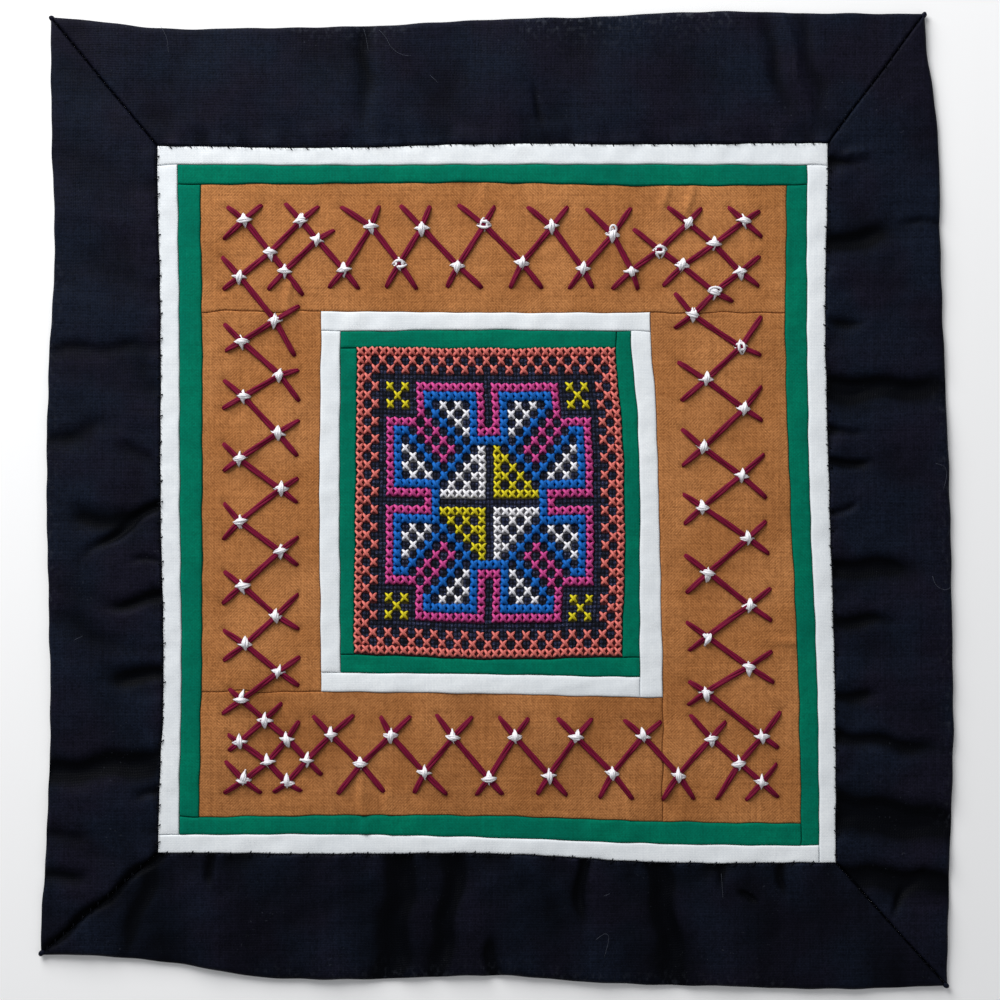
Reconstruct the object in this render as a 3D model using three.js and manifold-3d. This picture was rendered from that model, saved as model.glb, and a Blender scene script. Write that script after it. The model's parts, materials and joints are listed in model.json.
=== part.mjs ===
// A square flower cloth panel lying flat and face up: a cross-stitched centre inside five rings of pieced
// strips and a mitred border. Millimetres. X runs right and Y up the face, Z points out of the face, and the
// origin is the middle of the footprint, on the surface that the panel rests on.
import * as THREE from "three";
import { mergeVertices } from "three/addons/utils/BufferGeometryUtils.js";
import Module from "manifold-3d";

const wasm = await Module();
wasm.setup();

const GAP = 0.3; // between neighbouring pieces
const MITRE_GAP = GAP * Math.SQRT2; // the same gap, measured along X or Y across a diagonal seam
const WELD = 0.01; // corners nearer than this are one
const LIP = 0.9; // height of every piece's edge, where its turned-in layers end
const STITCH_TOP = 0.45; // how far a laid thread stands above the cloth
const STITCH_WIDTH = 0.95;
const STITCH_TAIL = 5.8; // what a laid thread runs on past its last crossing
const TIE = { reach: 1.65, rise: 0.75 }; // the small cross stitch that holds each crossing down
const ROW = { outer: 0.34, inner: 0.65 }; // the two rows of crossings, as shares of the tan strip's width

// Seam lines between the rings, from the outer edge inwards. A top or bottom line gives Y at even steps of X,
// a left or right line gives X at even steps of Y, and past its ends a line runs on straight.
const SEAMS = {
  edge: {
    top: { from: -104.1, to: 99.7, at: [112.2, 109.7, 109.8, 110.3, 111.7, 112.4, 113.6, 113.2, 113.1] },
    bottom: { from: -106.5, to: 105, at: [-106.3, -107.7, -111.7, -112, -111.2, -113, -113.7, -114.4, -113.7] },
    left: { from: 112.2, to: -106.3, at: [-104.1, -103.9, -103.2, -104.6, -105.1, -104.6, -104.2, -105.1, -106.5] },
    right: { from: 113.1, to: -113.7, at: [99.7, 102.8, 103.4, 104.5, 105.6, 106.1, 106.4, 105.5, 105] },
  },
  border_white: {
    top: { from: -79.2, to: 77.1, at: [82.1, 81.7, 82.6, 82.5, 82.8] },
    bottom: { from: -79, to: 78.9, at: [-82.5, -82.8, -82.7, -84.8, -84.8] },
    left: { from: 82.1, to: -82.5, at: [-79.2, -78.4, -78.4, -77.7, -79] },
    right: { from: 82.8, to: -84.8, at: [77.1, 76.5, 77.5, 78.7, 78.9] },
  },
  white_green: {
    top: { from: -74.3, to: 72.2, at: [77.8, 77.6, 77.8, 77.8, 77.7] },
    bottom: { from: -73.9, to: 75, at: [-78.3, -78.2, -79, -80.4, -80.8] },
    left: { from: 77.9, to: -78.3, at: [-74.4, -74, -73.9, -73.5, -74.1] },
    right: { from: 77.9, to: -80.7, at: [72.2, 72.2, 72.9, 74.5, 75] },
  },
  green_tan: {
    top: { from: -69.2, to: 67.5, at: [73.2, 73.4, 73.6, 72.9, 73] },
    bottom: { from: -69.4, to: 70.8, at: [-74.2, -73.8, -74, -75.2, -75.7] },
    left: { from: 73.3, to: -74.2, at: [-69.1, -68.7, -68.7, -68.8, -69.4] },
    right: { from: 73, to: -75.8, at: [67.5, 67.2, 68.4, 70.1, 70.8] },
  },
  tan_white: {
    top: { from: -40.8, to: 35.6, at: [43.6, 43.3, 43.3] },
    bottom: { from: -40.8, to: 38.6, at: [-45, -45.5, -46.3] },
    left: { from: 43.2, to: -45, at: [-41, -41.4, -41] },
    right: { from: 43.5, to: -46.2, at: [35.6, 37, 37.7, 38.2, 38.6] },
  },
  white_inner: {
    top: { from: -36.6, to: 31.4, at: [39, 39.3, 39] },
    bottom: { from: -36.6, to: 33.3, at: [-40.6, -40.9, -41.5] },
    left: { from: 39.3, to: -40.6, at: [-36.5, -36.7, -36.5] },
    right: { from: 39.3, to: -41.3, at: [31.2, 32.7, 33.3, 33.2, 33.3] },
  },
  inner_centre: {
    top: { from: -32.6, to: 27.7, at: [35.1, 34.8, 35] },
    bottom: { from: -33.3, to: 29.3, at: [-36.4, -37.5, -37] },
    left: { from: 35.1, to: -36.4, at: [-32.6, -32.9, -33.3] },
    right: { from: 35.1, to: -37.1, at: [27.6, 29.1, 29.7, 29.7, 29.1] },
  },
};

// Each cloth: its height over the surface at the middle of a piece, how far in its edge rounds over, and looks.
const CLOTHS = {
  border: { crown: 1.7, roll: 2.2, color: 0x1a2029, roughness: 0.93 },
  outer_white: { crown: 1.5, roll: 1.1, color: 0xe3e5ea, roughness: 0.88 },
  outer_green: { crown: 1.45, roll: 1.1, color: 0x006f54, roughness: 0.88 },
  tan: { crown: 1.3, roll: 1.2, color: 0xa96f3e, roughness: 0.9 },
  inner_white: { crown: 1.45, roll: 1, color: 0xe3e5ea, roughness: 0.88 },
  inner_green: { crown: 1.4, roll: 1, color: 0x006f54, roughness: 0.88 },
  centre: { crown: 1.35, roll: 0.8, color: 0x1c2038, roughness: 0.92 },
};

// Puckers and creases of the border cloth: where each runs, how broad it is and how far it rises (or sinks).
const FOLDS = [
  { piece: "border_right", from: [77, 78], to: [90, 79.5], width: 2.6, rise: 0.5 },
  { piece: "border_right", from: [77, 59], to: [96, 61], width: 2.4, rise: -0.35 },
  { piece: "border_right", from: [78, 25.5], to: [103, 23.5], width: 2.6, rise: 0.75 },
  { piece: "border_right", from: [78, 17], to: [95, 16], width: 2.6, rise: -0.4 },
  { piece: "border_right", from: [78, 8], to: [92, 8.5], width: 2.4, rise: 0.4 },
  { piece: "border_right", from: [79, -26], to: [98, -26.5], width: 2.8, rise: 0.5 },
  { piece: "border_right", from: [79, -44.5], to: [94, -45], width: 2.6, rise: -0.35 },
  { piece: "border_right", from: [79, -56], to: [100, -57], width: 2.8, rise: 0.45 },
  { piece: "border_right", from: [79, -72.5], to: [103, -74], width: 4.5, rise: 0.6 },
  { piece: "border_right", from: [80, -89], to: [103, -92], width: 4, rise: 0.45 },
  { piece: "border_left", from: [-79, -1.5], to: [-92.5, -10.8], width: 2.4, rise: 0.7 },
  { piece: "border_left", from: [-78.5, -25], to: [-98, -26], width: 3.6, rise: 0.4 },
  { piece: "border_left", from: [-78.5, -42], to: [-97, -43], width: 3.2, rise: -0.35 },
  { piece: "border_left", from: [-78.5, -55], to: [-101, -57], width: 3.2, rise: 0.5 },
  { piece: "border_left", from: [-78.5, -63.5], to: [-102, -64], width: 5, rise: 0.55 },
  { piece: "border_left", from: [-79, -72.5], to: [-100, -75], width: 3, rise: -0.35 },
  { piece: "border_bottom", from: [-55, -83], to: [-56, -100], width: 3, rise: 0.5 },
  { piece: "border_bottom", from: [-24, -83], to: [-24.5, -104], width: 3, rise: 0.5 },
  { piece: "border_bottom", from: [-12, -83], to: [-12, -98], width: 2.6, rise: -0.35 },
  { piece: "border_bottom", from: [-0.5, -83], to: [-1, -108], width: 2.8, rise: 0.7 },
  { piece: "border_bottom", from: [16, -84], to: [17, -94], width: 2.4, rise: 0.45 },
  { piece: "border_bottom", from: [33, -84.5], to: [34, -103], width: 3, rise: 0.45 },
  { piece: "border_bottom", from: [54, -85], to: [55, -105], width: 3.4, rise: 0.5 },
  { piece: "border_bottom", from: [92.7, -99.3], to: [98.5, -88.8], width: 2.4, rise: 0.4 },
  { piece: "border_top", from: [-34, 83], to: [-34.5, 98], width: 3.2, rise: 0.35 },
  { piece: "border_top", from: [10, 83], to: [10.5, 94], width: 2.8, rise: 0.4 },
  { piece: "border_top", from: [67.5, 111], to: [72, 86.5], width: 2.6, rise: -0.4 },
];

// Crossings of the laid threads. Along a side they step between the inner and the outer row, inner first.
const RUNS = {
  top: [-35.8, -29.8, -22.8, -17.5, -9.1, -3.1, 5.8, 12.6, 19.8, 26.8, 31.3],
  left: [41.1, 36.7, 28.8, 24.1, 15.3, 9.5, 2.2, -5.3, -12.3, -20.4, -27.6, -33.9, -40.2, -46.7],
  bottom: [-38.7, -31.9, -24.7, -16.8, -10.3, -1.8, 4.2, 12.1, 18.4, 26.8, 34, 42.4, 49.6],
  right: [42.8, 35.5, 27.6, 21.1, 11.8, 5.5, -2.2, -9.4, -17.6, -25.2, -32.5, -39.1, -45.2],
};
// At the corners the two runs weave into each other.
const CORNER_KNOTS = {
  tl_tip: [-58.9, 64.9], tl_top: [-45.7, 64.7], tl_mid: [-52.9, 57.4], tl_near: [-41.9, 60.2],
  tl_side: [-60, 51.6], tl_low: [-49.4, 53],
  tr_near: [37.9, 57.9], tr_top: [44.5, 64.2], tr_tip: [57.5, 64.7], tr_mid: [50.5, 59.3],
  tr_low: [43.1, 54.2], tr_side: [56.6, 52.8], tr_end: [50.7, 48.1],
  bl_mid: [-54.1, -51.6], bl_side: [-59.9, -56.7], bl_near: [-48.9, -55.9], bl_low: [-53.4, -61.3],
  bl_end: [-44.3, -60.9], bl_tip: [-58.9, -65.5], bl_base: [-48.9, -66.2],
  br_side: [61.7, -55.3], br_mid: [56.3, -61.6], br_tip: [61.5, -66],
};
// Threads of the corners: the crossings each passes through. A thread named by points alone ends at them.
const CORNER_THREADS = [
  ["tl_tip", "tl_mid", "tl_low"], [[-54.8, 68.4], [-63.6, 60.5]], ["tl_top", "tl_near", "top_0"],
  ["tl_top", "tl_mid", "tl_side"], ["tl_near", "tl_low"], ["tl_side", "left_0"],
  ["tr_near", "tr_low", "tr_end"], ["tr_top", "tr_near", "top_10"], ["tr_top", "tr_mid", "tr_side"],
  ["tr_tip", "tr_mid", "tr_low"], [[53.7, 67.8], [61.6, 61.2]], ["tr_side", "tr_end", "right_0"],
  ["bl_mid", "bl_side"], ["left_13", "bl_mid", "bl_near", "bl_end"], ["bl_near", "bl_low", "bl_tip"],
  ["bl_side", "bl_low", "bl_base"], [[-63.2, -61.1], [-54.9, -68.6]], ["bottom_0", "bl_end", "bl_base"],
  ["right_12", "br_side"], ["br_side", "br_mid"], ["bottom_12", "br_mid", "br_tip"],
  [[65.1, -61.7], [57.9, -70.4]],
];

const lerp = THREE.MathUtils.lerp;

// A seam line as a function of the other coordinate, smooth through its points.
function seamLine({ from, to, at }) {
  const steps = at.map((_, i) => i);
  const curve = new THREE.CubicInterpolant(steps, at, 1, [0]);
  return (p) => curve.evaluate(THREE.MathUtils.clamp((p - from) / (to - from), 0, 1) * (at.length - 1))[0];
}

// The straight seam between two corners, both as X over Y and as Y over X.
function mitre(outer, inner) {
  return {
    x: (y) => lerp(outer[0], inner[0], (y - outer[1]) / (inner[1] - outer[1])),
    y: (x) => lerp(outer[1], inner[1], (x - outer[0]) / (inner[0] - outer[0])),
  };
}

const rings = {};
for (const [name, sides] of Object.entries(SEAMS)) {
  rings[name] = Object.fromEntries(Object.entries(sides).map(([side, row]) => [side, seamLine(row)]));
}

// The corner points of a ring, from its rows.
function corners(name) {
  const { top, bottom } = SEAMS[name];
  return {
    tl: [top.from, top.at[0]], tr: [top.to, top.at.at(-1)],
    bl: [bottom.from, bottom.at[0]], br: [bottom.to, bottom.at.at(-1)],
  };
}

// Strips laid log-cabin fashion: the top one runs the whole width, the right one down to the bottom, the bottom
// one out to the left edge, and the left one fills in. Where cornerUp is set, the right strip runs up instead.
function pieced(outer, inner, cornerUp) {
  const top = { left: outer.left, right: outer.right, top: outer.top, bottom: inner.top };
  const right = { left: inner.right, right: outer.right, top: inner.top, bottom: outer.bottom };
  const bottom = { left: outer.left, right: inner.right, top: inner.bottom, bottom: outer.bottom };
  const left = { left: outer.left, right: inner.left, top: inner.top, bottom: inner.bottom };
  if (cornerUp) {
    top.right = inner.right;
    right.top = outer.top;
    right.bottom = inner.bottom;
    bottom.right = outer.right;
  }
  return { top, right, bottom, left };
}

// The border's four strips meet on the diagonals.
function mitred(outer, inner, outerCorners, innerCorners) {
  const seam = Object.fromEntries(
    Object.keys(outerCorners).map((k) => [k, mitre(outerCorners[k], innerCorners[k])]),
  );
  return {
    top: { left: seam.tl.x, right: seam.tr.x, top: outer.top, bottom: inner.top, mitred: "x" },
    right: { left: inner.right, right: outer.right, top: seam.tr.y, bottom: seam.br.y, mitred: "y" },
    bottom: { left: seam.bl.x, right: seam.br.x, top: inner.bottom, bottom: outer.bottom, mitred: "x" },
    left: { left: outer.left, right: inner.left, top: seam.tl.y, bottom: seam.bl.y, mitred: "y" },
  };
}

// The point at shares u (left to right) and v (bottom to top) of a piece's footprint.
function placeIn(bounds) {
  const inX = (bounds.mitred === "x" ? MITRE_GAP : GAP) / 2;
  const inY = (bounds.mitred === "y" ? MITRE_GAP : GAP) / 2;
  return (u, v) => {
    let x = lerp(bounds.left(0), bounds.right(0), u);
    let y = lerp(bounds.bottom(x), bounds.top(x), v);
    for (let pass = 0; pass < 30; pass += 1) {
      x = lerp(bounds.left(y) + inX, bounds.right(y) - inX, u);
      y = lerp(bounds.bottom(x) + inY, bounds.top(x) - inY, v);
    }
    return [x, y];
  };
}

// Even shares with closer ones where the edge rounds over.
function shares(count, edge) {
  const inner = Array.from({ length: count + 1 }, (_, i) => lerp(edge, 1 - edge, i / count));
  return [0, edge * 0.3, ...inner, 1 - edge * 0.3, 1];
}

// How far a fold lifts the cloth at a point: full along the middle of its run, fading towards the far end.
function foldRise(fold, x, y) {
  const [ax, ay] = fold.from;
  const [bx, by] = fold.to;
  const length = Math.hypot(bx - ax, by - ay);
  const along = ((x - ax) * (bx - ax) + (y - ay) * (by - ay)) / length;
  const across = ((x - ax) * (by - ay) - (y - ay) * (bx - ax)) / length;
  const past = Math.max(0, -along, along - length * 0.6) / (length * 0.4);
  return fold.rise * Math.exp(-((across / fold.width) ** 2) * 2 - past ** 2 * 2);
}

// A cloth piece as one closed solid: flat below, its top rounding over at the edges and lifted by its folds.
function pieceGeometry(name, bounds, cloth, grid) {
  const place = placeIn(bounds);
  const { us, vs, underUs, underVs } = grid;
  const [left, low] = place(0, 0);
  const [right, high] = place(1, 1);
  const folds = FOLDS.filter((fold) => fold.piece === name);
  const points = [];
  const indexOf = new Map();
  const add = (key, x, y, z) => {
    indexOf.set(key, points.length / 3);
    points.push(x, y, z);
  };
  vs.forEach((v, j) => us.forEach((u, i) => {
    const [x, y] = place(u, v);
    const edge = Math.min(Math.min(u, 1 - u) * (right - left), Math.min(v, 1 - v) * (high - low));
    const open = Math.min(1, edge / cloth.roll);
    const rounding = Math.sqrt(1 - (1 - open) ** 2);
    const lift = folds.reduce((sum, fold) => sum + foldRise(fold, x, y), 0) * rounding;
    add(`top${i},${j}`, x, y, lerp(LIP, cloth.crown, rounding) + lift);
    if (underUs.includes(i) && underVs.includes(j)) add(`under${i},${j}`, x, y, 0);
  }));
  const faces = [];
  const face = (...keys) => faces.push(...keys.map((key) => indexOf.get(key)));
  for (let j = 0; j + 1 < vs.length; j += 1) {
    for (let i = 0; i + 1 < us.length; i += 1) {
      face(`top${i},${j}`, `top${i + 1},${j}`, `top${i + 1},${j + 1}`);
      face(`top${i},${j}`, `top${i + 1},${j + 1}`, `top${i},${j + 1}`);
    }
  }
  for (let b = 0; b + 1 < underVs.length; b += 1) {
    for (let a = 0; a + 1 < underUs.length; a += 1) {
      const [i, k] = [underUs[a], underUs[a + 1]];
      const [j, l] = [underVs[b], underVs[b + 1]];
      face(`under${i},${j}`, `under${k},${l}`, `under${k},${j}`);
      face(`under${i},${j}`, `under${i},${l}`, `under${k},${l}`);
    }
  }
  const wall = (unders, keyAt, turned) => {
    const side = (a, b, c) => (turned ? face(a, c, b) : face(a, b, c));
    for (let a = 0; a + 1 < unders.length; a += 1) {
      const [near, far] = [unders[a], unders[a + 1]];
      side(keyAt("under", near), keyAt("under", far), keyAt("top", far));
      for (let k = near; k < far; k += 1) {
        side(keyAt("under", near), keyAt("top", k + 1), keyAt("top", k));
      }
    }
  };
  wall(underUs, (row, i) => `${row}${i},0`, false);
  wall(underUs, (row, i) => `${row}${i},${vs.length - 1}`, true);
  wall(underVs, (row, j) => `${row}0,${j}`, true);
  wall(underVs, (row, j) => `${row}${us.length - 1},${j}`, false);
  const geometry = new THREE.BufferGeometry();
  geometry.setAttribute("position", new THREE.Float32BufferAttribute(points, 3));
  geometry.setIndex(faces);
  return geometry;
}

// The grid of a strip: fine along its length, a few steps across, and a plain underside.
function stripGrid(side, alongCount, acrossCount, edge) {
  const along = shares(alongCount, edge.along);
  const across = shares(acrossCount, edge.across);
  const all = along.map((_, i) => i);
  const ends = [0, across.length - 1];
  return side === "top" || side === "bottom"
    ? { us: along, vs: across, underUs: all, underVs: ends }
    : { us: across, vs: along, underUs: ends, underVs: all };
}

function toSolid(geometry) {
  const bare = geometry.clone();
  for (const name of Object.keys(bare.attributes)) if (name !== "position") bare.deleteAttribute(name);
  const merged = mergeVertices(bare, 1e-4);
  return new wasm.Manifold(new wasm.Mesh({
    numProp: 3,
    vertProperties: new Float32Array(merged.attributes.position.array),
    triVerts: new Uint32Array(merged.index.array),
  }));
}

// A solid back as a geometry, with the tiny edges that cutting leaves closed up.
function toGeometry(solid) {
  const mesh = solid.getMesh();
  const geometry = new THREE.BufferGeometry();
  geometry.setAttribute("position", new THREE.BufferAttribute(new Float32Array(mesh.vertProperties), 3));
  geometry.setIndex(new THREE.BufferAttribute(new Uint32Array(mesh.triVerts), 1));
  const welded = mergeVertices(geometry, WELD);
  const corner = welded.index.array;
  const kept = [];
  for (let i = 0; i < corner.length; i += 3) {
    const [a, b, c] = corner.subarray(i, i + 3);
    if (a !== b && b !== c && c !== a) kept.push(a, b, c);
  }
  welded.setIndex(kept);
  return welded;
}

// Crossing number i of a side, on its row between the tan strip's two long seams.
function runKnot(side, i) {
  const share = i % 2 === 0 ? ROW.inner : ROW.outer;
  const p = RUNS[side][i];
  const q = lerp(rings.green_tan[side](p), rings.tan_white[side](p), share);
  return side === "top" || side === "bottom" ? [p, q] : [q, p];
}

const knots = { ...CORNER_KNOTS };
const threads = CORNER_THREADS.map((names) => ({
  points: names,
  tail: typeof names[0] === "string" ? STITCH_TAIL : 0,
}));
for (const side of Object.keys(RUNS)) {
  RUNS[side].forEach((_, i) => {
    knots[`${side}_${i}`] = runKnot(side, i);
    if (i > 0) threads.push({ points: [`${side}_${i - 1}`, `${side}_${i}`], tail: STITCH_TAIL });
  });
}

// A laid thread between two points as a low ridge rooted in the cloth.
function ridge(from, to, startTail, endTail) {
  const length = Math.hypot(to[0] - from[0], to[1] - from[1]) + startTail + endTail;
  const angle = Math.atan2(to[1] - from[1], to[0] - from[0]);
  const base = LIP / 2;
  const top = CLOTHS.tan.crown + STITCH_TOP;
  const halfWidth = (STITCH_WIDTH / 2 / STITCH_TOP) * (top - base);
  const section = new THREE.Shape([
    new THREE.Vector2(-halfWidth, base), new THREE.Vector2(halfWidth, base), new THREE.Vector2(0, top),
  ]);
  const geometry = new THREE.ExtrudeGeometry(section, { depth: length, bevelEnabled: false });
  geometry.rotateX(Math.PI / 2);
  geometry.translate(0, startTail, 0);
  geometry.rotateZ(angle + Math.PI / 2);
  geometry.translate(from[0], from[1], 0);
  return toSolid(geometry);
}

// A tie: a four-pointed mound over the crossing, its points along X and Y.
function tie([x, y]) {
  const base = LIP / 2;
  const height = CLOTHS.tan.crown + TIE.rise - base;
  const geometry = new THREE.ConeGeometry(TIE.reach, height, 4, 1);
  geometry.rotateX(Math.PI / 2);
  geometry.translate(x, y, base + height / 2);
  return toSolid(geometry);
}

// All the laid threads and ties, as one solid that each tan strip takes its own share of.
function stitching() {
  const solids = Object.values(knots).map(tie);
  for (const { points, tail } of threads) {
    const route = points.map((p) => (typeof p === "string" ? knots[p] : p));
    for (let k = 0; k + 1 < route.length; k += 1) {
      solids.push(ridge(route[k], route[k + 1], k === 0 ? tail : 0, k + 2 === route.length ? tail : 0));
    }
  }
  return wasm.Manifold.union(solids);
}

const panel = new THREE.Group();
const materials = Object.fromEntries(Object.entries(CLOTHS).map(([name, { color, roughness }]) => [
  name, new THREE.MeshStandardMaterial({ color, roughness, metalness: 0 }),
]));

function addPiece(name, geometry, cloth) {
  const mesh = new THREE.Mesh(geometry, materials[cloth]);
  mesh.name = name;
  panel.add(mesh);
}

// The rings of strips: which seams bound each, its grid, and the name that its pieces start with.
const STRIPS = [
  { cloth: "outer_white", outer: "border_white", inner: "white_green", steps: [9, 1], edge: [0.006, 0.25] },
  { cloth: "outer_green", outer: "white_green", inner: "green_tan", steps: [9, 1], edge: [0.006, 0.25] },
  { cloth: "tan", outer: "green_tan", inner: "tan_white", steps: [7, 2], edge: [0.009, 0.04] },
  { cloth: "inner_white", outer: "tan_white", inner: "white_inner", steps: [5, 1], edge: [0.01, 0.25] },
  { cloth: "inner_green", outer: "white_inner", inner: "inner_centre", steps: [5, 1], edge: [0.01, 0.25], up: true },
];

const threadwork = stitching();
for (const { cloth, outer, inner, steps, edge, up } of STRIPS) {
  const sides = pieced(rings[outer], rings[inner], up);
  for (const [side, bounds] of Object.entries(sides)) {
    const name = `${cloth}_${side}`;
    const grid = stripGrid(side, steps[0], steps[1], { along: edge[0], across: edge[1] });
    let geometry = pieceGeometry(name, bounds, CLOTHS[cloth], grid);
    if (cloth === "tan") {
      const tall = pieceGeometry(name, bounds, { crown: LIP * 5, roll: 0.01 }, grid);
      geometry = toGeometry(toSolid(geometry).add(threadwork.intersect(toSolid(tall))));
    }
    addPiece(name, geometry, cloth);
  }
}

const borderSides = mitred(rings.edge, rings.border_white, corners("edge"), corners("border_white"));
for (const [side, bounds] of Object.entries(borderSides)) {
  const name = `border_${side}`;
  const grid = stripGrid(side, 42, 6, { along: 0.01, across: 0.06 });
  addPiece(name, pieceGeometry(name, bounds, CLOTHS.border, grid), "border");
}

const centreSteps = shares(8, 0.013);
const centreAll = centreSteps.map((_, i) => i);
const centreGrid = { us: centreSteps, vs: centreSteps, underUs: centreAll, underVs: centreAll };
addPiece("centre_panel", pieceGeometry("centre_panel", rings.inner_centre, CLOTHS.centre, centreGrid), "centre");

export default panel;
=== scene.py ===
# A square flower cloth panel lying face up: a cross-stitched centre inside five rings of pieced strips, laid
# threads held by small white ties, and a mitred black border. The frame is the part's own: X runs right and
# Y up the face. Tables and shapes are in millimetres, and MM turns them into the frame's metres.
import json
import math
import random

import bpy
import numpy as np
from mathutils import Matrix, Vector

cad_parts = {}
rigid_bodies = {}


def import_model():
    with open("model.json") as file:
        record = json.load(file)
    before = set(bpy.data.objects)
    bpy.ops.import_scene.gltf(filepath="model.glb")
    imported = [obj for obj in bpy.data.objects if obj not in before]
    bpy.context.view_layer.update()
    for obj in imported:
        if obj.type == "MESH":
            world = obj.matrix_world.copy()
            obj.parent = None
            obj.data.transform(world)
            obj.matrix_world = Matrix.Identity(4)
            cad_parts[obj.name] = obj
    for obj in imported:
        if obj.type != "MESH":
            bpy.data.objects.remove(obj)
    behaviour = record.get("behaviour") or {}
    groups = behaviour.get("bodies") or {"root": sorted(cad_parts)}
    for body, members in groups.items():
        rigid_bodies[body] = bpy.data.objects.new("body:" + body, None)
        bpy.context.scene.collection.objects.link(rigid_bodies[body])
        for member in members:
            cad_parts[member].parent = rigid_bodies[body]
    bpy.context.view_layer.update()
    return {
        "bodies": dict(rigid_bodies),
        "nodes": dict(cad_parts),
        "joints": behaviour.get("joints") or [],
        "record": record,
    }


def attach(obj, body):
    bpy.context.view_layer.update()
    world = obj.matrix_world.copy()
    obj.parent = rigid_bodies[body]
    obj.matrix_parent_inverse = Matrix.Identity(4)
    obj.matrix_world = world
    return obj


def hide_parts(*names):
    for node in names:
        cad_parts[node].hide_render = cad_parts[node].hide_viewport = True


MM = 0.001

# What the square picture takes in at the panel's face, and the point of the face that it is centred on.
PICTURE_WIDTH = 232.9
PICTURE_CENTRE = (0.675, -0.326)
CAMERA_HEIGHT = 450.0
SENSOR_WIDTH = 36.0
# The lamps, in the frame's metres: where each hangs, how wide it is, and its power in watts.
LIGHTS = {
    "key": {"place": (-0.32, 0.56, 0.38), "size": 0.5, "power": 8.0},
    "fill": {"place": (0.8, -0.4, 0.9), "size": 0.9, "power": 1.2},
}
SKY_STRENGTH = 0.33

SEAM_GAP = 0.04  # between neighbouring pieces, closed up by their rounded edges
SETTLING = 14  # rounds that it takes to find a place between four curved edges
GRAIN_ORIGIN = 130.0  # keeps every grain coordinate above zero
LEAST_HEIGHT = 0.15  # of the cloth's face above the surface it lies on
LEAST_STEPS = 9  # of the mesh across any strip
ROUNDING_STEPS = (0, 0.04, 0.14, 0.32, 0.6, 1)  # of the mesh round an edge, as shares of it

CELLS = 35  # cross stitches across the centre panel, and up it
THREADS_PER_CELL = 2
POINTS_PER_THREAD = 4  # of the mesh that the ground's weave stands in
STITCH_REACH = 0.95  # of the way from the middle of a cell to its corners
STITCH_SHIFT = (-0.1, 0.38)  # how far the pattern sits off the middle of its panel
STITCH_STRAY = 0.06  # by which the ends and bows of the crosses' legs differ
LEG_RISES = {"under": 0.42, "over": 0.72}  # of the two legs of a cross above the ground
STITCH_RADIUS = {
    "coral_thread": 0.4, "pink_thread": 0.46, "blue_thread": 0.6, "white_thread": 0.39, "yellow_thread": 0.39,
}

THREAD_RADIUS = 0.42  # of each of the two plies of a laid thread
PLIES_APART = 0.3  # from the middle of the thread to that of a ply
THREAD_SWAY = 17.0  # the plies rock to and fro once over this length
THREAD_STEP = 0.55  # between the mesh rings of a laid thread
THREAD_LIES = 0.36  # its middle above the tan cloth
THREAD_DIVES = {"depth": 0.75, "reach": 0.5}  # into the cloth at each end
THREAD_TAPERS = {"to": 0.66, "reach": 3.2}  # towards each end
THREAD_LIFT = {"over": 0.45, "under": -0.05}  # where it crosses another
THREAD_PINCH = {"share": 0.12, "reach": 1.4}  # under a tie
TIP_ROWS = {"outer": 0.18, "inner": 0.815}  # where the threads end, as shares of the tan strip's width
TIE_REACH = 1.75  # of a tie's stitch to each side of its crossing
TIE_RISES = (1.25, 1.5)  # of its first stitch and of the one that crosses it
TIE_SPREAD = (0.3, 0.4)  # between the three strands of a stitch
TIE_RADIUS = (0.36, 0.41)
TIE_STRAYS = {"lean": 0.13, "turn": 0.12, "shift": 0.15}
SLACK = 0.5  # a stitch whose strands lie further apart than this has only two
LOOP_RADIUS = 0.28
WHIP_PITCH = 4.7  # between the black stitches that hold the border's inner edge down
WHIP_RADIUS = 0.15
WHIP_ENDS = {"behind": 0.8, "ahead": (0.5, 0.8), "slant": (0.3, 0.7)}  # from the edge, and along it
FIBRE_PITCH = 0.8  # between the fibres that stray from that edge
MITRE_PITCH = 2.6
MITRE_REACH = {"across": 0.45, "along": 0.35}  # of a mitre's stitch from its middle
TIP_RADIUS = 0.62  # of the folded cloth at the corners
LINT_RADIUS = (0.026, 0.044)

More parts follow.
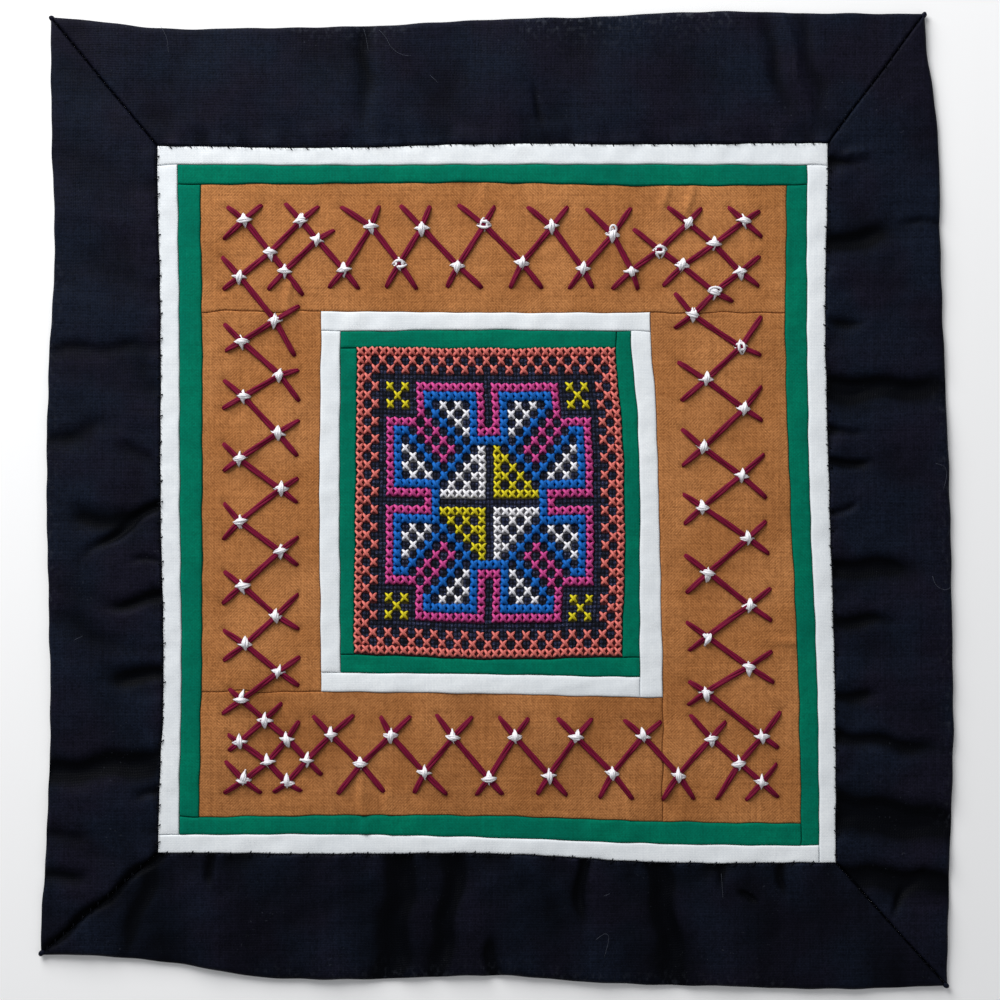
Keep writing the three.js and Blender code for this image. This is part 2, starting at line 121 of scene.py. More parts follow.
# Seam lines between the rings, from the outer edge inwards: where each starts and ends along its side, and
# where it lies across the side at even steps between. For a top or bottom line those are two X and a list of
# Y, for a left or right line two Y and a list of X. Past its ends a line runs on straight.
SEAMS = {
    "edge": {
        "top": (-104.1, 99.7, [112.2, 109.7, 109.8, 110.3, 111.7, 112.4, 113.6, 113.2, 113.1]),
        "bottom": (-106.5, 105, [-106.3, -107.7, -111.7, -112, -111.2, -113, -113.7, -114.4, -113.7]),
        "left": (112.2, -106.3, [-104.1, -103.9, -103.2, -104.6, -105.1, -104.6, -104.2, -105.1, -106.5]),
        "right": (113.1, -113.7, [99.7, 102.8, 103.4, 104.5, 105.6, 106.1, 106.4, 105.5, 105]),
    },
    "border_white": {
        "top": (-79.2, 77.1, [82.1, 81.7, 82.6, 82.5, 82.8]),
        "bottom": (-79, 78.9, [-82.5, -82.8, -82.7, -84.8, -84.8]),
        "left": (82.1, -82.5, [-79.2, -78.4, -78.4, -77.7, -79]),
        "right": (82.8, -84.8, [77.1, 76.5, 77.5, 78.7, 78.9]),
    },
    "white_green": {
        "top": (-74.3, 72.2, [77.8, 77.6, 77.8, 77.8, 77.7]),
        "bottom": (-73.9, 75, [-78.3, -78.2, -79, -80.4, -80.8]),
        "left": (77.9, -78.3, [-74.4, -74, -73.9, -73.5, -74.1]),
        "right": (77.9, -80.7, [72.2, 72.2, 72.9, 74.5, 75]),
    },
    "green_tan": {
        "top": (-69.2, 67.5, [73.2, 73.4, 73.6, 72.9, 73]),
        "bottom": (-69.4, 70.8, [-74.2, -73.8, -74, -75.2, -75.7]),
        "left": (73.3, -74.2, [-69.1, -68.7, -68.7, -68.8, -69.4]),
        "right": (73, -75.8, [67.5, 67.2, 68.4, 70.1, 70.8]),
    },
    "tan_white": {
        "top": (-40.8, 35.6, [43.6, 43.3, 43.3]),
        "bottom": (-40.8, 38.6, [-45, -45.5, -46.3]),
        "left": (43.2, -45, [-41, -41.4, -41]),
        "right": (43.5, -46.2, [35.6, 37, 37.7, 38.2, 38.6]),
    },
    "white_inner": {
        "top": (-36.6, 31.4, [39, 39.3, 39]),
        "bottom": (-36.6, 33.3, [-40.6, -40.9, -41.5]),
        "left": (39.3, -40.6, [-36.5, -36.7, -36.5]),
        "right": (39.3, -41.3, [31.2, 32.7, 33.3, 33.2, 33.3]),
    },
    "inner_centre": {
        "top": (-32.6, 27.7, [35.1, 34.8, 35]),
        "bottom": (-33.3, 29.3, [-36.4, -37.5, -37]),
        "left": (35.1, -36.4, [-32.6, -32.9, -33.3]),
        "right": (35.1, -37.1, [27.6, 29.1, 29.7, 29.7, 29.1]),
    },
}
LEVEL = ("top", "bottom")  # sides that run along X
OPPOSITE = {"top": "bottom", "bottom": "top", "left": "right", "right": "left"}
# How far each sewn line wavers from side to side.
WAVER = {
    "edge": 0.1, "border_white": 0.07, "white_green": 0.08, "green_tan": 0.11, "tan_white": 0.08,
    "white_inner": 0.08, "inner_centre": 0.1,
}

JOINT_WAVER = 0.15  # what the joints between the strips of one ring waver on top of that
JOINT_REACH = 5.0  # over which that extra builds up
WANDER_LENGTHS = (9, 14, 23)  # of the slow waves that a waver is made of

# Each cloth: its height at the middle of a piece and at its edge, how far in the edge rounds over, how much
# the piece bellies up, how far apart its mesh points lie, and its finish.
WHITE_STRIP = {"crown": 1.5, "lip": 1.1, "roll": 0.34, "belly": 0.12, "step": 1, "finish": "white_cloth"}
GREEN_STRIP = {"crown": 1.5, "lip": 0.85, "roll": 0.36, "belly": 0.12, "step": 1, "finish": "green_cloth"}
CLOTHS = {
    "border": {"crown": 1.75, "lip": 0.7, "roll": 0.45, "belly": 0.15, "step": 0.5, "finish": "black_cloth"},
    "outer_white": {**WHITE_STRIP, "crown": 1.55},
    "outer_green": GREEN_STRIP,
    "tan": {"crown": 1.3, "lip": 0.85, "roll": 0.36, "belly": 0.1, "step": 0.55, "finish": "tan_cloth"},
    "inner_white": WHITE_STRIP,
    "inner_green": GREEN_STRIP,
    "centre": {"crown": 1.1, "lip": 0.8, "roll": 0.3, "belly": 0.05, "step": 0.25, "finish": "navy_ground"},
}
FULL_SHADE_DEPTH = 0.88  # painted shade: a crease this deep is painted at its darkest
HEM_ROLL = 1.3  # the border's outer edge is a soft fold
MITRE_ROLL = 0.28
# A crease sways as it runs, is steeper on one side, and keeps its full depth for a share of its length.
CREASE = {"sway": 0.5, "pace": 0.45, "gentle": 0.75, "steep": 1.35, "full": 0.55}
# Slow swells of each cloth: how high they rise, and how far it is from one to the next.
SWELLS = {
    "border": [(0.24, 20), (0.06, 6)], "tan": [(0.1, 18), (0.03, 5)], "centre": [(0.08, 20)],
    "outer_white": [(0.09, 8), (0.04, 4)], "outer_green": [(0.09, 8), (0.04, 4)],
    "inner_white": [(0.09, 8), (0.04, 4)], "inner_green": [(0.09, 8), (0.04, 4)],
}
# Where the border is whipped down it gathers with the stitches, and in looser crumples that reach further.
GATHERS = {"height": 0.12, "reach": 2.2}
CRUMPLES = {"height": 0.3, "apart": 8, "reach": 6}
DITCH = {"depth": 0.5, "reach": 0.32}  # along the mitres
DIMPLES = {"end": {"depth": 0.22, "reach": 0.9}, "tie": {"depth": 0.15, "reach": 1.7}}  # in the tan cloth
WEAVE_HEIGHT = 0.26  # of the centre's coarse ground
HOLES = {"depth": 0.2, "sharpness": 12}  # where the cross stitches go through it

# The rings of strips: which seams bound each. Where up is set, the right strip runs up past the top one.
STRIPS = [
    {"cloth": "outer_white", "outer": "border_white", "inner": "white_green", "up": False},
    {"cloth": "outer_green", "outer": "white_green", "inner": "green_tan", "up": False},
    {"cloth": "tan", "outer": "green_tan", "inner": "tan_white", "up": False},
    {"cloth": "inner_white", "outer": "tan_white", "inner": "white_inner", "up": False},
    {"cloth": "inner_green", "outer": "white_inner", "inner": "inner_centre", "up": True},
]

# Creases of the cloth: where each starts and ends, its width, and how far it rises or, below zero, sinks. The
# bottom left mitre pulls both its strips into one.
PULLED_MITRE = ((-80, -83.9), (-112, -110.5), 1.5, -1.3)
FOLDS = {
    "border_right": [
        ((82, 80.3), (87, 80), 1.3, 0.8), ((77, 78.4), (86, 78.8), 1.4, -0.9),
        ((77, 59.2), (92, 62.6), 3.4, -1.6), ((103.5, 64), (93, 64.4), 1.3, -0.7),
        ((78, 41.2), (86, 41), 1.8, -0.8), ((78, 26.2), (108, 26), 3.9, -1.7),
        ((77.5, 15.8), (86, 15.8), 1.6, -0.8), ((78, 8.6), (88, 8.4), 1.6, -1.2),
        ((78.5, -3.2), (84.5, -0.2), 1.3, -0.8), ((79, -15.9), (100, -15.7), 3.6, -1.4),
        ((79, -28.3), (94, -28.3), 2.4, -1.1), ((79, -45.8), (90, -45.8), 2.4, -1.1),
        ((79, -55.2), (106, -58.6), 2.8, -1.3), ((79, -71.5), (116, -77.5), 5.8, -1.8),
        ((80, -87), (114, -90), 4, -1.5), ((97.1, -89), (91, -98), 1.1, -1),
    ],
    "border_left": [
        ((-99.5, 35), (-80, 35.6), 2.4, -0.6), ((-104.5, 13.2), (-90, 18), 3, -0.6),
        ((-86, 11.5), (-78, 9), 2.6, -0.6), ((-79, -1.5), (-96, -13.4), 1.6, -1.5),
        ((-88, -5.5), (-101, -4.5), 3.4, -1), ((-78.5, -14.5), (-86, -14.4), 1.3, -0.6),
        ((-78, -23.2), (-92, -25.5), 2, -1.3), ((-99, -29.5), (-84, -36), 5, -0.45),
        ((-78, -41.2), (-91, -41.8), 3, -1.5), ((-106, -64), (-66, -58.8), 4.2, -1.6),
        ((-78, -68.8), (-85, -69.4), 1.6, -0.7), ((-106, -78.3), (-93, -78.3), 2.2, -0.5),
        ((-106, -88), (-94, -87.6), 2.6, -1), PULLED_MITRE,
    ],
    "border_bottom": [
        PULLED_MITRE, ((-81, -90), (-88, -108), 2.4, -0.7),
        ((-66.5, -83.5), (-66.7, -91), 1.5, -1), ((-21.4, -83), (-25.5, -120), 4, -1.7),
        ((-8.6, -82), (-14.5, -116), 3, -1.4), ((-1.2, -112), (-1.8, -101), 2, -1),
        ((19.9, -84), (19.5, -99), 1.8, -1.3), ((37.5, -85), (42.5, -116), 3.4, -1.6),
        ((52, -85), (52.5, -92), 1.4, -0.6), ((57.3, -92.2), (60.5, -94.4), 1, -0.8),
        ((66.4, -85), (66.6, -92.5), 1.6, -1),
    ],
    "border_top": [
        ((-30.5, 112), (-30.8, 80), 3, -0.7), ((8.6, 94), (11.6, 86), 1.2, -0.6),
        ((63.2, 108), (68, 88), 2.4, -0.7), ((67, 113), (74, 84), 1.5, 0.6),
        ((71.5, 108), (76.5, 90), 2.6, -0.6),
    ],
    "tan_top": [
        ((-48.5, 45), (-48.9, 54), 1.2, 0.5), ((45.2, 73), (44.2, 64), 1.3, 0.5),
        ((39.5, 73), (39, 66), 1.2, 0.4), ((-2.5, 73), (-2.7, 68), 1.2, 0.35),
    ],
    "tan_bottom": [
        ((-30.6, -74), (-32.8, -64), 1.4, 0.7), ((-25, -74), (-25.8, -66), 1.3, 0.55),
        ((30.4, -74.5), (30.2, -68), 1.2, 0.4),
    ],
    "tan_right": [((70, -33), (64, -33.4), 1.2, 0.4)],
    "outer_green_bottom": [((-30.4, -78), (-30.6, -74), 1.3, 0.5), ((-24.8, -78), (-25, -74), 1.2, 0.4)],
}
# Painted shade: how much darker than the others a few strips are painted, where the light falls off from the
# top.
FALLOFF_SHADE = {"border_left": 0.08, "border_bottom": 0.45, "tan_bottom": 0.14}

# Where the border's outer edge is rubbed pale: a stretch of a side, how far in it reaches, and how strongly.
SCUFFS = [
    {"side": "top", "from": -50, "to": -18, "depth": 2.2, "strength": 0.6},
    {"side": "top", "from": 2, "to": 58, "depth": 3, "strength": 0.8},
    {"side": "left", "from": -30, "to": 60, "depth": 1.6, "strength": 0.4},
    {"side": "right", "from": -80, "to": 30, "depth": 1.8, "strength": 0.4},
    {"side": "bottom", "from": -60, "to": 70, "depth": 1.8, "strength": 0.35},
]
SCUFF_FADE = 6.0  # over which each begins and ends

# Crossings of the laid threads, in order along each side, by turns on the inner and on the outer row: where
# each lies along the side and across it, and how far along the two threads that cross there run on to end.
RUNS = {
    "top": {
        "along": [-35.7, -29.4, -22.7, -17.5, -9.2, -3.1, 5.7, 12.7, 20, 26.8, 31.3],
        "across": [53.2, 63.3, 54.6, 63, 54.2, 63.7, 54.9, 63.3, 53.5, 61.4, 53],
        "before": [-39.2, -36.4, -25.9, -22.6, -11.7, -9.1, 3, 7, 16.7, 20.7, 26.8],
        "after": [-32.2, -27.4, -18.7, -15.6, -3.5, -0.5, 10.5, 16.5, 22.3, 31.2, 32.8],
    },
    "left": {
        "along": [41.4, 36.6, 28.8, 23.9, 15.3, 9.3, 2.2, -5.3, -12.2, -20.3, -27.3, -33.9, -40.2, -46.8],
        "across": [
            -51.8, -59.5, -50.6, -59.1, -51, -60, -50.3, -59.8, -50.4, -59.3, -51.4, -58.6, -50.9, -59.6,
        ],
        "before": [44.9, 40.7, 30, 27.6, 18.3, 12.9, 4.8, -1, -8.9, -16.9, -22.2, -30.6, -36.8, -44.3],
        "after": [33.2, 34.4, 22.7, 20.9, 9.9, 6.4, -1, -9.6, -15.5, -24.5, -30.4, -37.8, -43.6, -50.2],
    },
    "bottom": {
        "along": [-38.7, -31.8, -24.7, -16.9, -10.2, -1.9, 4.2, 12.1, 18.4, 26.9, 34, 42.2, 49.8],
        "across": [-55, -61.8, -55, -63.7, -55.5, -65.2, -55.5, -64.4, -55.5, -63.9, -55.4, -64.4, -55.9],
        "before": [-42.9, -37.2, -27.2, -19.4, -14.2, -4.9, 0.4, 9.3, 14, 23.8, 29.6, 38.5, 44.9],
        "after": [-33.6, -26.1, -20.1, -11.7, -5.8, 1.4, 7.4, 16.3, 22.1, 31.7, 38.2, 45.9, 53.3],
    },
    "right": {
        "along": [42.8, 35.3, 27.7, 21, 11.9, 5.4, -2.1, -9.3, -17.3, -25, -32.1, -39.1, -45],
        "across": [45.6, 56.8, 48.7, 57.5, 48, 56.9, 47.8, 58.3, 49.1, 58.7, 49, 58.7, 48.7],
        "before": [47.9, 42.5, 31.8, 26.2, 16.2, 10.4, 1.1, -5.2, -13.1, -20.8, -28.7, -35.5, -42.6],
        "after": [39.7, 33.4, 22.7, 18.1, 7.6, 0.1, -6, -12.9, -22, -28.5, -35.5, -42.9, -48.1],
    },
}
# At the corners the two runs weave into each other.
CORNER_KNOTS = {
    "tl_tip": (-58.9, 64.9), "tl_top": (-45.7, 64.7), "tl_mid": (-52.9, 57.4), "tl_near": (-41.9, 60.2),
    "tl_side": (-60, 51.6), "tl_low": (-49.4, 53),
    "tr_near": (37.9, 57.9), "tr_top": (44.5, 64.2), "tr_tip": (57.5, 64.7), "tr_mid": (50.5, 59.3),
    "tr_low": (43.1, 54.2), "tr_side": (56.6, 52.8), "tr_end": (50.7, 48.1),
    "bl_mid": (-54.1, -51.6), "bl_side": (-59.9, -56.7), "bl_near": (-48.9, -55.9), "bl_low": (-53.4, -61.3),
    "bl_end": (-44.3, -60.9), "bl_tip": (-58.9, -65.5), "bl_base": (-48.9, -66.2),
    "br_side": (61.7, -55.3), "br_mid": (56.3, -61.6), "br_tip": (61.5, -66),
}
# Threads of the corners: where each starts, the crossings that it passes, and where it ends.
CORNER_THREADS = [
    ((-62.9, 68), ["tl_tip", "tl_mid", "tl_low"], (-45.2, 47.4)),
    ((-54.8, 68.4), ["tl_tip"], (-63.7, 60.4)),
    ((-49.4, 68.8), ["tl_top", "tl_near", "top_0"], (-32.2, 48.8)),
    ((-41.5, 68.1), ["tl_top", "tl_mid", "tl_side"], (-63.8, 48.7)),
    ((-37.8, 62.6), ["tl_near", "tl_low"], (-53.4, 48.6)),
    ((-64.1, 56.3), ["tl_side", "left_0"], (-47.1, 33.2)),
    ((31.7, 62.8), ["tr_near", "tr_low", "tr_end"], (54.9, 45.9)),
    ((47.7, 67.7), ["tr_top", "tr_near", "top_10"], (26.8, 48.8)),
    ((39.7, 67.9), ["tr_top", "tr_mid", "tr_side"], (61, 49.5)),
    ((61.2, 67), ["tr_tip", "tr_mid", "tr_low"], (38.6, 49.5)),
    ((53.8, 67.9), ["tr_tip"], (61.7, 60.9)),
    ((61.2, 56.5), ["tr_side", "tr_end", "right_0"], (41.4, 39.7)),
    ((-62.4, -44.3), ["left_13", "bl_mid", "bl_near", "bl_end"], (-40.8, -64.4)),
    ((-50.1, -47.6), ["bl_mid", "bl_side"], (-62.6, -58.8)),
    ((-46.1, -51.8), ["bl_near", "bl_low", "bl_tip"], (-63.6, -68.6)),
    ((-62.8, -54.9), ["bl_side", "bl_low", "bl_base"], (-45.4, -68.2)),
    ((-63.3, -61.1), ["bl_tip"], (-54.9, -68.6)),
    ((-33.4, -50.4), ["bottom_0", "bl_end", "bl_base"], (-52.2, -68.5)),
    ((44.7, -42.6), ["right_12", "br_side"], (65.6, -58.1)),
    ((66, -49.6), ["br_side", "br_mid"], (51.1, -70.1)),
    ((45, -50.4), ["bottom_12", "br_mid", "br_tip"], (65.5, -69.6)),
    ((65.2, -61.7), ["br_tip"], (57.9, -70.3)),
]
# Ties whose upright stitch sits above its crossing, or below it.
SLIPPED = {
    "left_13": 0.6, "bl_tip": 0.6, "bl_base": 0.6, "right_8": -0.5, "right_10": -0.6, "right_11": -0.6,
    "right_12": -0.6,
}
# Ties that are slack, with an eye between their strands: how far those stand from the middle.
OPEN_TIES = {"top_2": 0.75, "tr_near": 0.8, "top_5": 0.7, "right_1": 0.65}
# Ties with a loose loop of thread: where the loop's middle lies from the crossing.
LOOPS = [
    {"knot": "top_9", "shift": (0.2, 1.2), "width": 1.9, "height": 2.3},
    {"knot": "tr_end", "shift": (0, 0.4), "width": 3.3, "height": 1.7},
]

# Loose pale fibres caught on the border: the points each passes through.
LINT = [
    [(-31, 109.2), (-30.4, 107), (-29.9, 104)],
    [(-27.4, 108.9), (-25.3, 106.8), (-25.2, 105.1), (-22.3, 102.8), (-20, 103)],
    [(-15.6, 98.4), (-13.7, 96.6)], [(22.9, -102.6), (25.1, -100.7), (26.3, -101.7), (24.9, -106.6)],
    [(101.9, 8.2), (104.5, 7.5), (104.4, 4.5), (103.7, 2)],
    [(101.2, -18), (101.8, -20.3), (104.2, -21.5), (105.6, -20.5)], [(-98.3, -32.9), (-96.2, -31.9)],
    [(24.7, -92.4), (26.2, -91.8)], [(52.1, -87.2), (52.5, -93)],
    [(-78.3, 110), (-76.6, 107), (-76.4, 103.4)],
]

# Finishes of the cloths. Light is the weave's tops and dark the painted shade of its hollows and creases,
# drift what light fades to in places, pitch the threads' spacing, relief their height, hatch how much of the
# weave shows as slanting lines, and uneven how much its threads differ in tone.
CLOTH_FINISHES = {
    "black_cloth": {
        "light": 0x171e2e, "drift": 0x1a1928, "dark": 0x020306, "pitch": (0.34, 0.4), "relief": 0.06,
        "hatch": 0.15, "uneven": 0.8, "fluff": 0x4a4e58, "shine": 0.035, "roughness": 0.52,
    },
    "white_cloth": {
        "light": 0xeaedee, "drift": 0xe4e8ea, "dark": 0xced3d8, "pitch": (0.36, 0.4), "relief": 0.015,
        "hatch": 0.2, "uneven": 0.6, "fluff": 0xb9bec9, "shine": 0.1, "roughness": 0.9,
    },
    "green_cloth": {
        "light": 0x007c61, "drift": 0x00725d, "dark": 0x00503d, "pitch": (0.36, 0.4), "relief": 0.02,
        "hatch": 0.3, "uneven": 0.6, "fluff": 0x2f8a74, "shine": 0.05, "roughness": 0.9,
    },
    "tan_cloth": {
        "light": 0xd69259, "drift": 0xc6844d, "dark": 0x542808, "pitch": (0.36, 0.362), "relief": 0.055,
        "hatch": 0.4, "uneven": 0.55, "fluff": 0xd8a070, "shine": 0.08, "roughness": 0.9,
    },
}
# Finishes of the threads. Light is the colour of the plies' crowns and dark the painted shade of the grooves
# between them, twist the length of one turn.
STRANDED_COTTON = {"twist": 2.4, "plies": 2, "shine": 0.2}
THREAD_FINISHES = {
    "wine_thread": {"light": 0x7b1036, "dark": 0x36040f, "twist": 5.0, "plies": 3, "shine": 0.1},
    "white_thread": {"light": 0xf5f4f7, "dark": 0xbdbac0, **STRANDED_COTTON},
    "coral_thread": {"light": 0xe67e74, "dark": 0x94403c, **STRANDED_COTTON},
    "pink_thread": {"light": 0xd85098, "dark": 0x7c1a50, **STRANDED_COTTON},
    "blue_thread": {"light": 0x0868c2, "dark": 0x02366c, **STRANDED_COTTON},
    "yellow_thread": {"light": 0xe4d622, "dark": 0x847606, **STRANDED_COTTON},
    "black_thread": {"light": 0x0e1017, "dark": 0x040508, "twist": 0.7, "plies": 2, "shine": 0.06},
    "lint": {"light": 0x50545f, "dark": 0x383c46, "twist": 2.0, "plies": 1, "shine": 0.1},
}
THREAD_RELIEF = 0.06
# The centre's ground: light on the crowns of its threads, dark as painted shade in their hollows, and glint
# as a painted highlight on fibres that catch the light.
GROUND_FINISH = {"light": 0x232a48, "dark": 0x030409, "glint": 0x6c7290, "relief": 0.08, "shine": 0.15}


def lerp(a, b, share):
    return a + (b - a) * share


def on_side(side, along, across):
    """A point given along a side and across it, as X and Y."""
    return (along, across) if side in LEVEL else (across, along)


def linear(hex_colour):
    """A hex colour as the linear red, green, blue and alpha that a shader takes."""
    parts = [(hex_colour >> shift & 255) / 255 for shift in (16, 8, 0)]
    return [c / 12.92 if c <= 0.04045 else ((c + 0.055) / 1.055) ** 2.4 for c in parts] + [1.0]


# Seams and footprints

def waver_of(seed):
    """A slow, uneven wander between about -1 and 1 along a line."""
    draw = random.Random(seed)
    waves = [(draw.uniform(0.85, 1.15) * length, draw.uniform(0, math.tau)) for length in WANDER_LENGTHS]
    return lambda p: sum(np.sin(p * math.tau / length + phase) for length, phase in waves) / 2


def seam_line(row, waver, seed):
    """A seam line as a function of the place along its side, smooth through its points."""
    start, end, across = row
    at = np.array([across[1], *across, across[-2]], float)
    last = len(across) - 1
    wander = waver_of(seed)

    def line(p):
        p = np.asarray(p, float)
        t = np.clip((p - start) / (end - start), 0, 1) * last
        i = np.minimum(t.astype(int), last - 1)
        f = t - i
        a, b, c, d = at[i], at[i + 1], at[i + 2], at[i + 3]
        curve = 2 * b + (c - a) * f + (2 * a - 5 * b + 4 * c - d) * f**2 + (3 * b - a - 3 * c + d) * f**3
        past = np.abs(p - (start + end) / 2) - abs(end - start) / 2
        return curve / 2 + (waver + JOINT_WAVER * np.clip(past / JOINT_REACH, 0, 1)) * wander(p)

    return line


LINES = {
    name: {side: seam_line(row, WAVER[name], f"{name} {side}") for side, row in sides.items()}
    for name, sides in SEAMS.items()
}


def corners_of(name):
    corners = {}
    for side, key in (("top", "t"), ("bottom", "b")):
        start, end, across = SEAMS[name][side]
        corners |= {key + "l": (start, across[0]), key + "r": (end, across[-1])}
    return corners


def mitre(outer, inner):
    """The straight seam between two corners, both as X over Y and as Y over X."""
    return {
        "x": lambda y: lerp(outer[0], inner[0], (y - outer[1]) / (inner[1] - outer[1])),
        "y": lambda x: lerp(outer[1], inner[1], (x - outer[0]) / (inner[0] - outer[0])),
    }


MITRES = {
    corner: mitre(corners_of("edge")[corner], corners_of("border_white")[corner])
    for corner in ("tl", "tr", "bl", "br")
}


def four_edges(left, right, bottom, top):
    return {"left": left, "right": right, "bottom": bottom, "top": top}


def pieced(outer, inner, corner_up):
    """The four footprints of a ring of strips laid log-cabin fashion."""
    ring = {
        "top": four_edges(outer["left"], outer["right"], inner["top"], outer["top"]),
        "right": four_edges(inner["right"], outer["right"], outer["bottom"], inner["top"]),
        "bottom": four_edges(outer["left"], inner["right"], outer["bottom"], inner["bottom"]),
        "left": four_edges(outer["left"], inner["left"], inner["bottom"], inner["top"]),
    }
    if corner_up:
        ring["top"]["right"] = inner["right"]
        ring["right"] |= {"top": outer["top"], "bottom": inner["bottom"]}
        ring["bottom"]["right"] = outer["right"]
    return ring


def mitred(outer, inner):
    """The border's four footprints, which meet on the diagonals."""
    return {
        "top": four_edges(MITRES["tl"]["x"], MITRES["tr"]["x"], inner["top"], outer["top"]),
        "right": four_edges(inner["right"], outer["right"], MITRES["br"]["y"], MITRES["tr"]["y"]),
        "bottom": four_edges(MITRES["bl"]["x"], MITRES["br"]["x"], outer["bottom"], inner["bottom"]),
        "left": four_edges(outer["left"], inner["left"], MITRES["bl"]["y"], MITRES["tl"]["y"]),
    }


def place_in(bounds, u, v):
    """Where shares u (left to right) and v (bottom to top) of a footprint lie."""
    inset = SEAM_GAP / 2
    x = lerp(bounds["left"](0.0), bounds["right"](0.0), u)
    y = lerp(bounds["bottom"](x), bounds["top"](x), v)
    for _ in range(SETTLING):
        x = lerp(bounds["left"](y) + inset, bounds["right"](y) - inset, u)
        y = lerp(bounds["bottom"](x) + inset, bounds["top"](x) - inset, v)
    return x, y


# Cloth pieces

def shares(length, step, roll):
    """Even shares of a length, with closer ones where the edge rounds over."""
    rounds = [roll * turn for turn in ROUNDING_STEPS]
    count = max(2, round((length - 2 * roll) / step))
    middle = np.linspace(roll, length - roll, count + 1)[1:-1]
    return np.array([*rounds, *middle, *[length - r for r in reversed(rounds)]]) / length


def ripple(x, y, wavelength, seed):
    """Slow swells of the cloth, between about -1 and 1."""
    draw = random.Random(seed)
    height = 0
    for _ in range(6):
        turn = draw.uniform(0, math.tau)
        pace = math.tau / (wavelength * draw.uniform(0.7, 1.5))
        height = height + np.sin((x * math.cos(turn) + y * math.sin(turn)) * pace + draw.uniform(0, math.tau))
    return height / 3


def fold_rise(start, end, width, rise, x, y):
    """How far a crease lifts the cloth: it is steeper on one side and fades towards its far end."""
    (ax, ay), (bx, by) = start, end
    length = math.hypot(bx - ax, by - ay)
    along = ((x - ax) * (bx - ax) + (y - ay) * (by - ay)) / length
    across = ((x - ax) * (by - ay) - (y - ay) * (bx - ax)) / length
    across = across + CREASE["sway"] * np.sin(along * CREASE["pace"] + ax)
    steepness = np.where(across > 0, CREASE["gentle"], CREASE["steep"])
    full = length * CREASE["full"]
    past = np.maximum(0, np.maximum(-along, along - full)) / (length - full)
    return rise * np.exp(-((across / width) ** 2) * 2 * steepness - past**2 * 2)


def swells(node, cloth_name, x, y):
    """The slow swells of a cloth, first the long ones and then the fine ones."""
    rows = zip(SWELLS[cloth_name], (node, node + " fine"))
    return sum(rise * ripple(x, y, apart, seed) for (rise, apart), seed in rows)


def dimples(points, x, y, depth, reach):
    """Small dimples where a thread goes down into the cloth."""
    pull = np.zeros_like(x)
    for px, py in points:
        near = (np.abs(x - px) < reach * 3) & (np.abs(y - py) < reach * 3)
        away = (x[near] - px) ** 2 + (y[near] - py) ** 2
        pull[near] = np.maximum(pull[near], depth * np.exp(-away / reach**2))
    return pull


def weave_relief(u, v):
    """The coarse plain weave of the centre ground, between 0 and 1, at thread counts u and v."""
    over_u = np.sin(math.pi * (u % 1)) ** 0.7
    over_v = np.sin(math.pi * (v % 1)) ** 0.7
    crossing = (np.floor(u) + np.floor(v)) % 2
    return np.where(crossing > 0, over_u * (0.35 + 0.65 * over_v), over_v * (0.35 + 0.65 * over_u))


def scuffed(side, x, y, inward):
    """How much the outer edge of a border strip is rubbed, between 0 and 1."""
    along = x if side in LEVEL else y
    wear = np.zeros_like(x)
    for scuff in SCUFFS:
        if scuff["side"] != side:
            continue
        middle, half = (scuff["from"] + scuff["to"]) / 2, (scuff["to"] - scuff["from"]) / 2
        stretch = np.clip((half - np.abs(along - middle)) / SCUFF_FADE, 0, 1)
        wear = np.maximum(wear, scuff["strength"] * stretch * np.exp(-inward / scuff["depth"]))
    return wear


def new_piece(name, slot, points, faces):
    """A mesh piece of the panel, its points given in millimetres, riding on the one body."""
    mesh = bpy.data.meshes.new(name)
    mesh.from_pydata(np.asarray(points) * MM, [], faces)
    mesh.materials.append(MATERIALS[slot])
    piece = bpy.data.objects.new(name, mesh)
    bpy.context.scene.collection.objects.link(piece)
    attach(piece, "root")
    return piece


def shell(columns, rows):
    """Faces of a closed sheet: a grid on top, a wall round it, and one flat face underneath.

    The rim lists the grid points that the wall hangs from; the underside's own points follow the grid's.
    """
    index = np.arange(columns * rows).reshape(rows, columns)
    grid = np.stack([index[:-1, :-1], index[:-1, 1:], index[1:, 1:], index[1:, :-1]], axis=-1)
    rim = np.concatenate([index[0, :-1], index[:-1, -1], index[-1, :0:-1], index[:0:-1, 0]])
    under = np.arange(len(rim)) + columns * rows
    walls = np.stack([under, np.roll(under, -1), np.roll(rim, -1), rim], axis=-1)
    return [*grid.reshape(-1, 4).tolist(), *walls.tolist(), under[::-1].tolist()], rim


def grain_map(piece, across_points):
    """The map that the weave follows: the first coordinate runs along a strip."""
    mesh = piece.data
    corner = np.zeros(len(mesh.loops), int)
    mesh.loops.foreach_get("vertex_index", corner)
    layer = mesh.uv_layers.new(name="grain")
    layer.data.foreach_set("uv", across_points[corner].ravel())


def edge_roundness(inward, rolls):
    """How near the cloth is to its full height as its edges round over, between 0 and 1."""
    rounding = 1
    for edge, distance in inward.items():
        share = np.minimum(1, distance / rolls[edge])
        rounding = rounding * np.sqrt(1 - (1 - share) ** 2)
    return rounding


def cloth_grid(cloth_name, bounds, rolls):
    """Where a piece's mesh points lie, as shares of its width and of its height."""
    if cloth_name == "centre":
        even = np.linspace(0, 1, CELLS * THREADS_PER_CELL * POINTS_PER_THREAD + 1)
        return even, even
    x, y = place_in(bounds, 0.5, 0.5)
    width = float(bounds["right"](y) - bounds["left"](y))
    height = float(bounds["top"](x) - bounds["bottom"](x))
    step = CLOTHS[cloth_name]["step"]
    return (
        shares(width, min(step, width / LEAST_STEPS), max(rolls["left"], rolls["right"])),
        shares(height, min(step, height / LEAST_STEPS), max(rolls["bottom"], rolls["top"])),
    )


def set_on_points(piece, name, kind, field, values):
    """Gives every point of a piece a value of its own, or a colour."""
    layer = piece.data.attributes.new(name, kind, "POINT")
    layer.data.foreach_set(field, values.ravel())


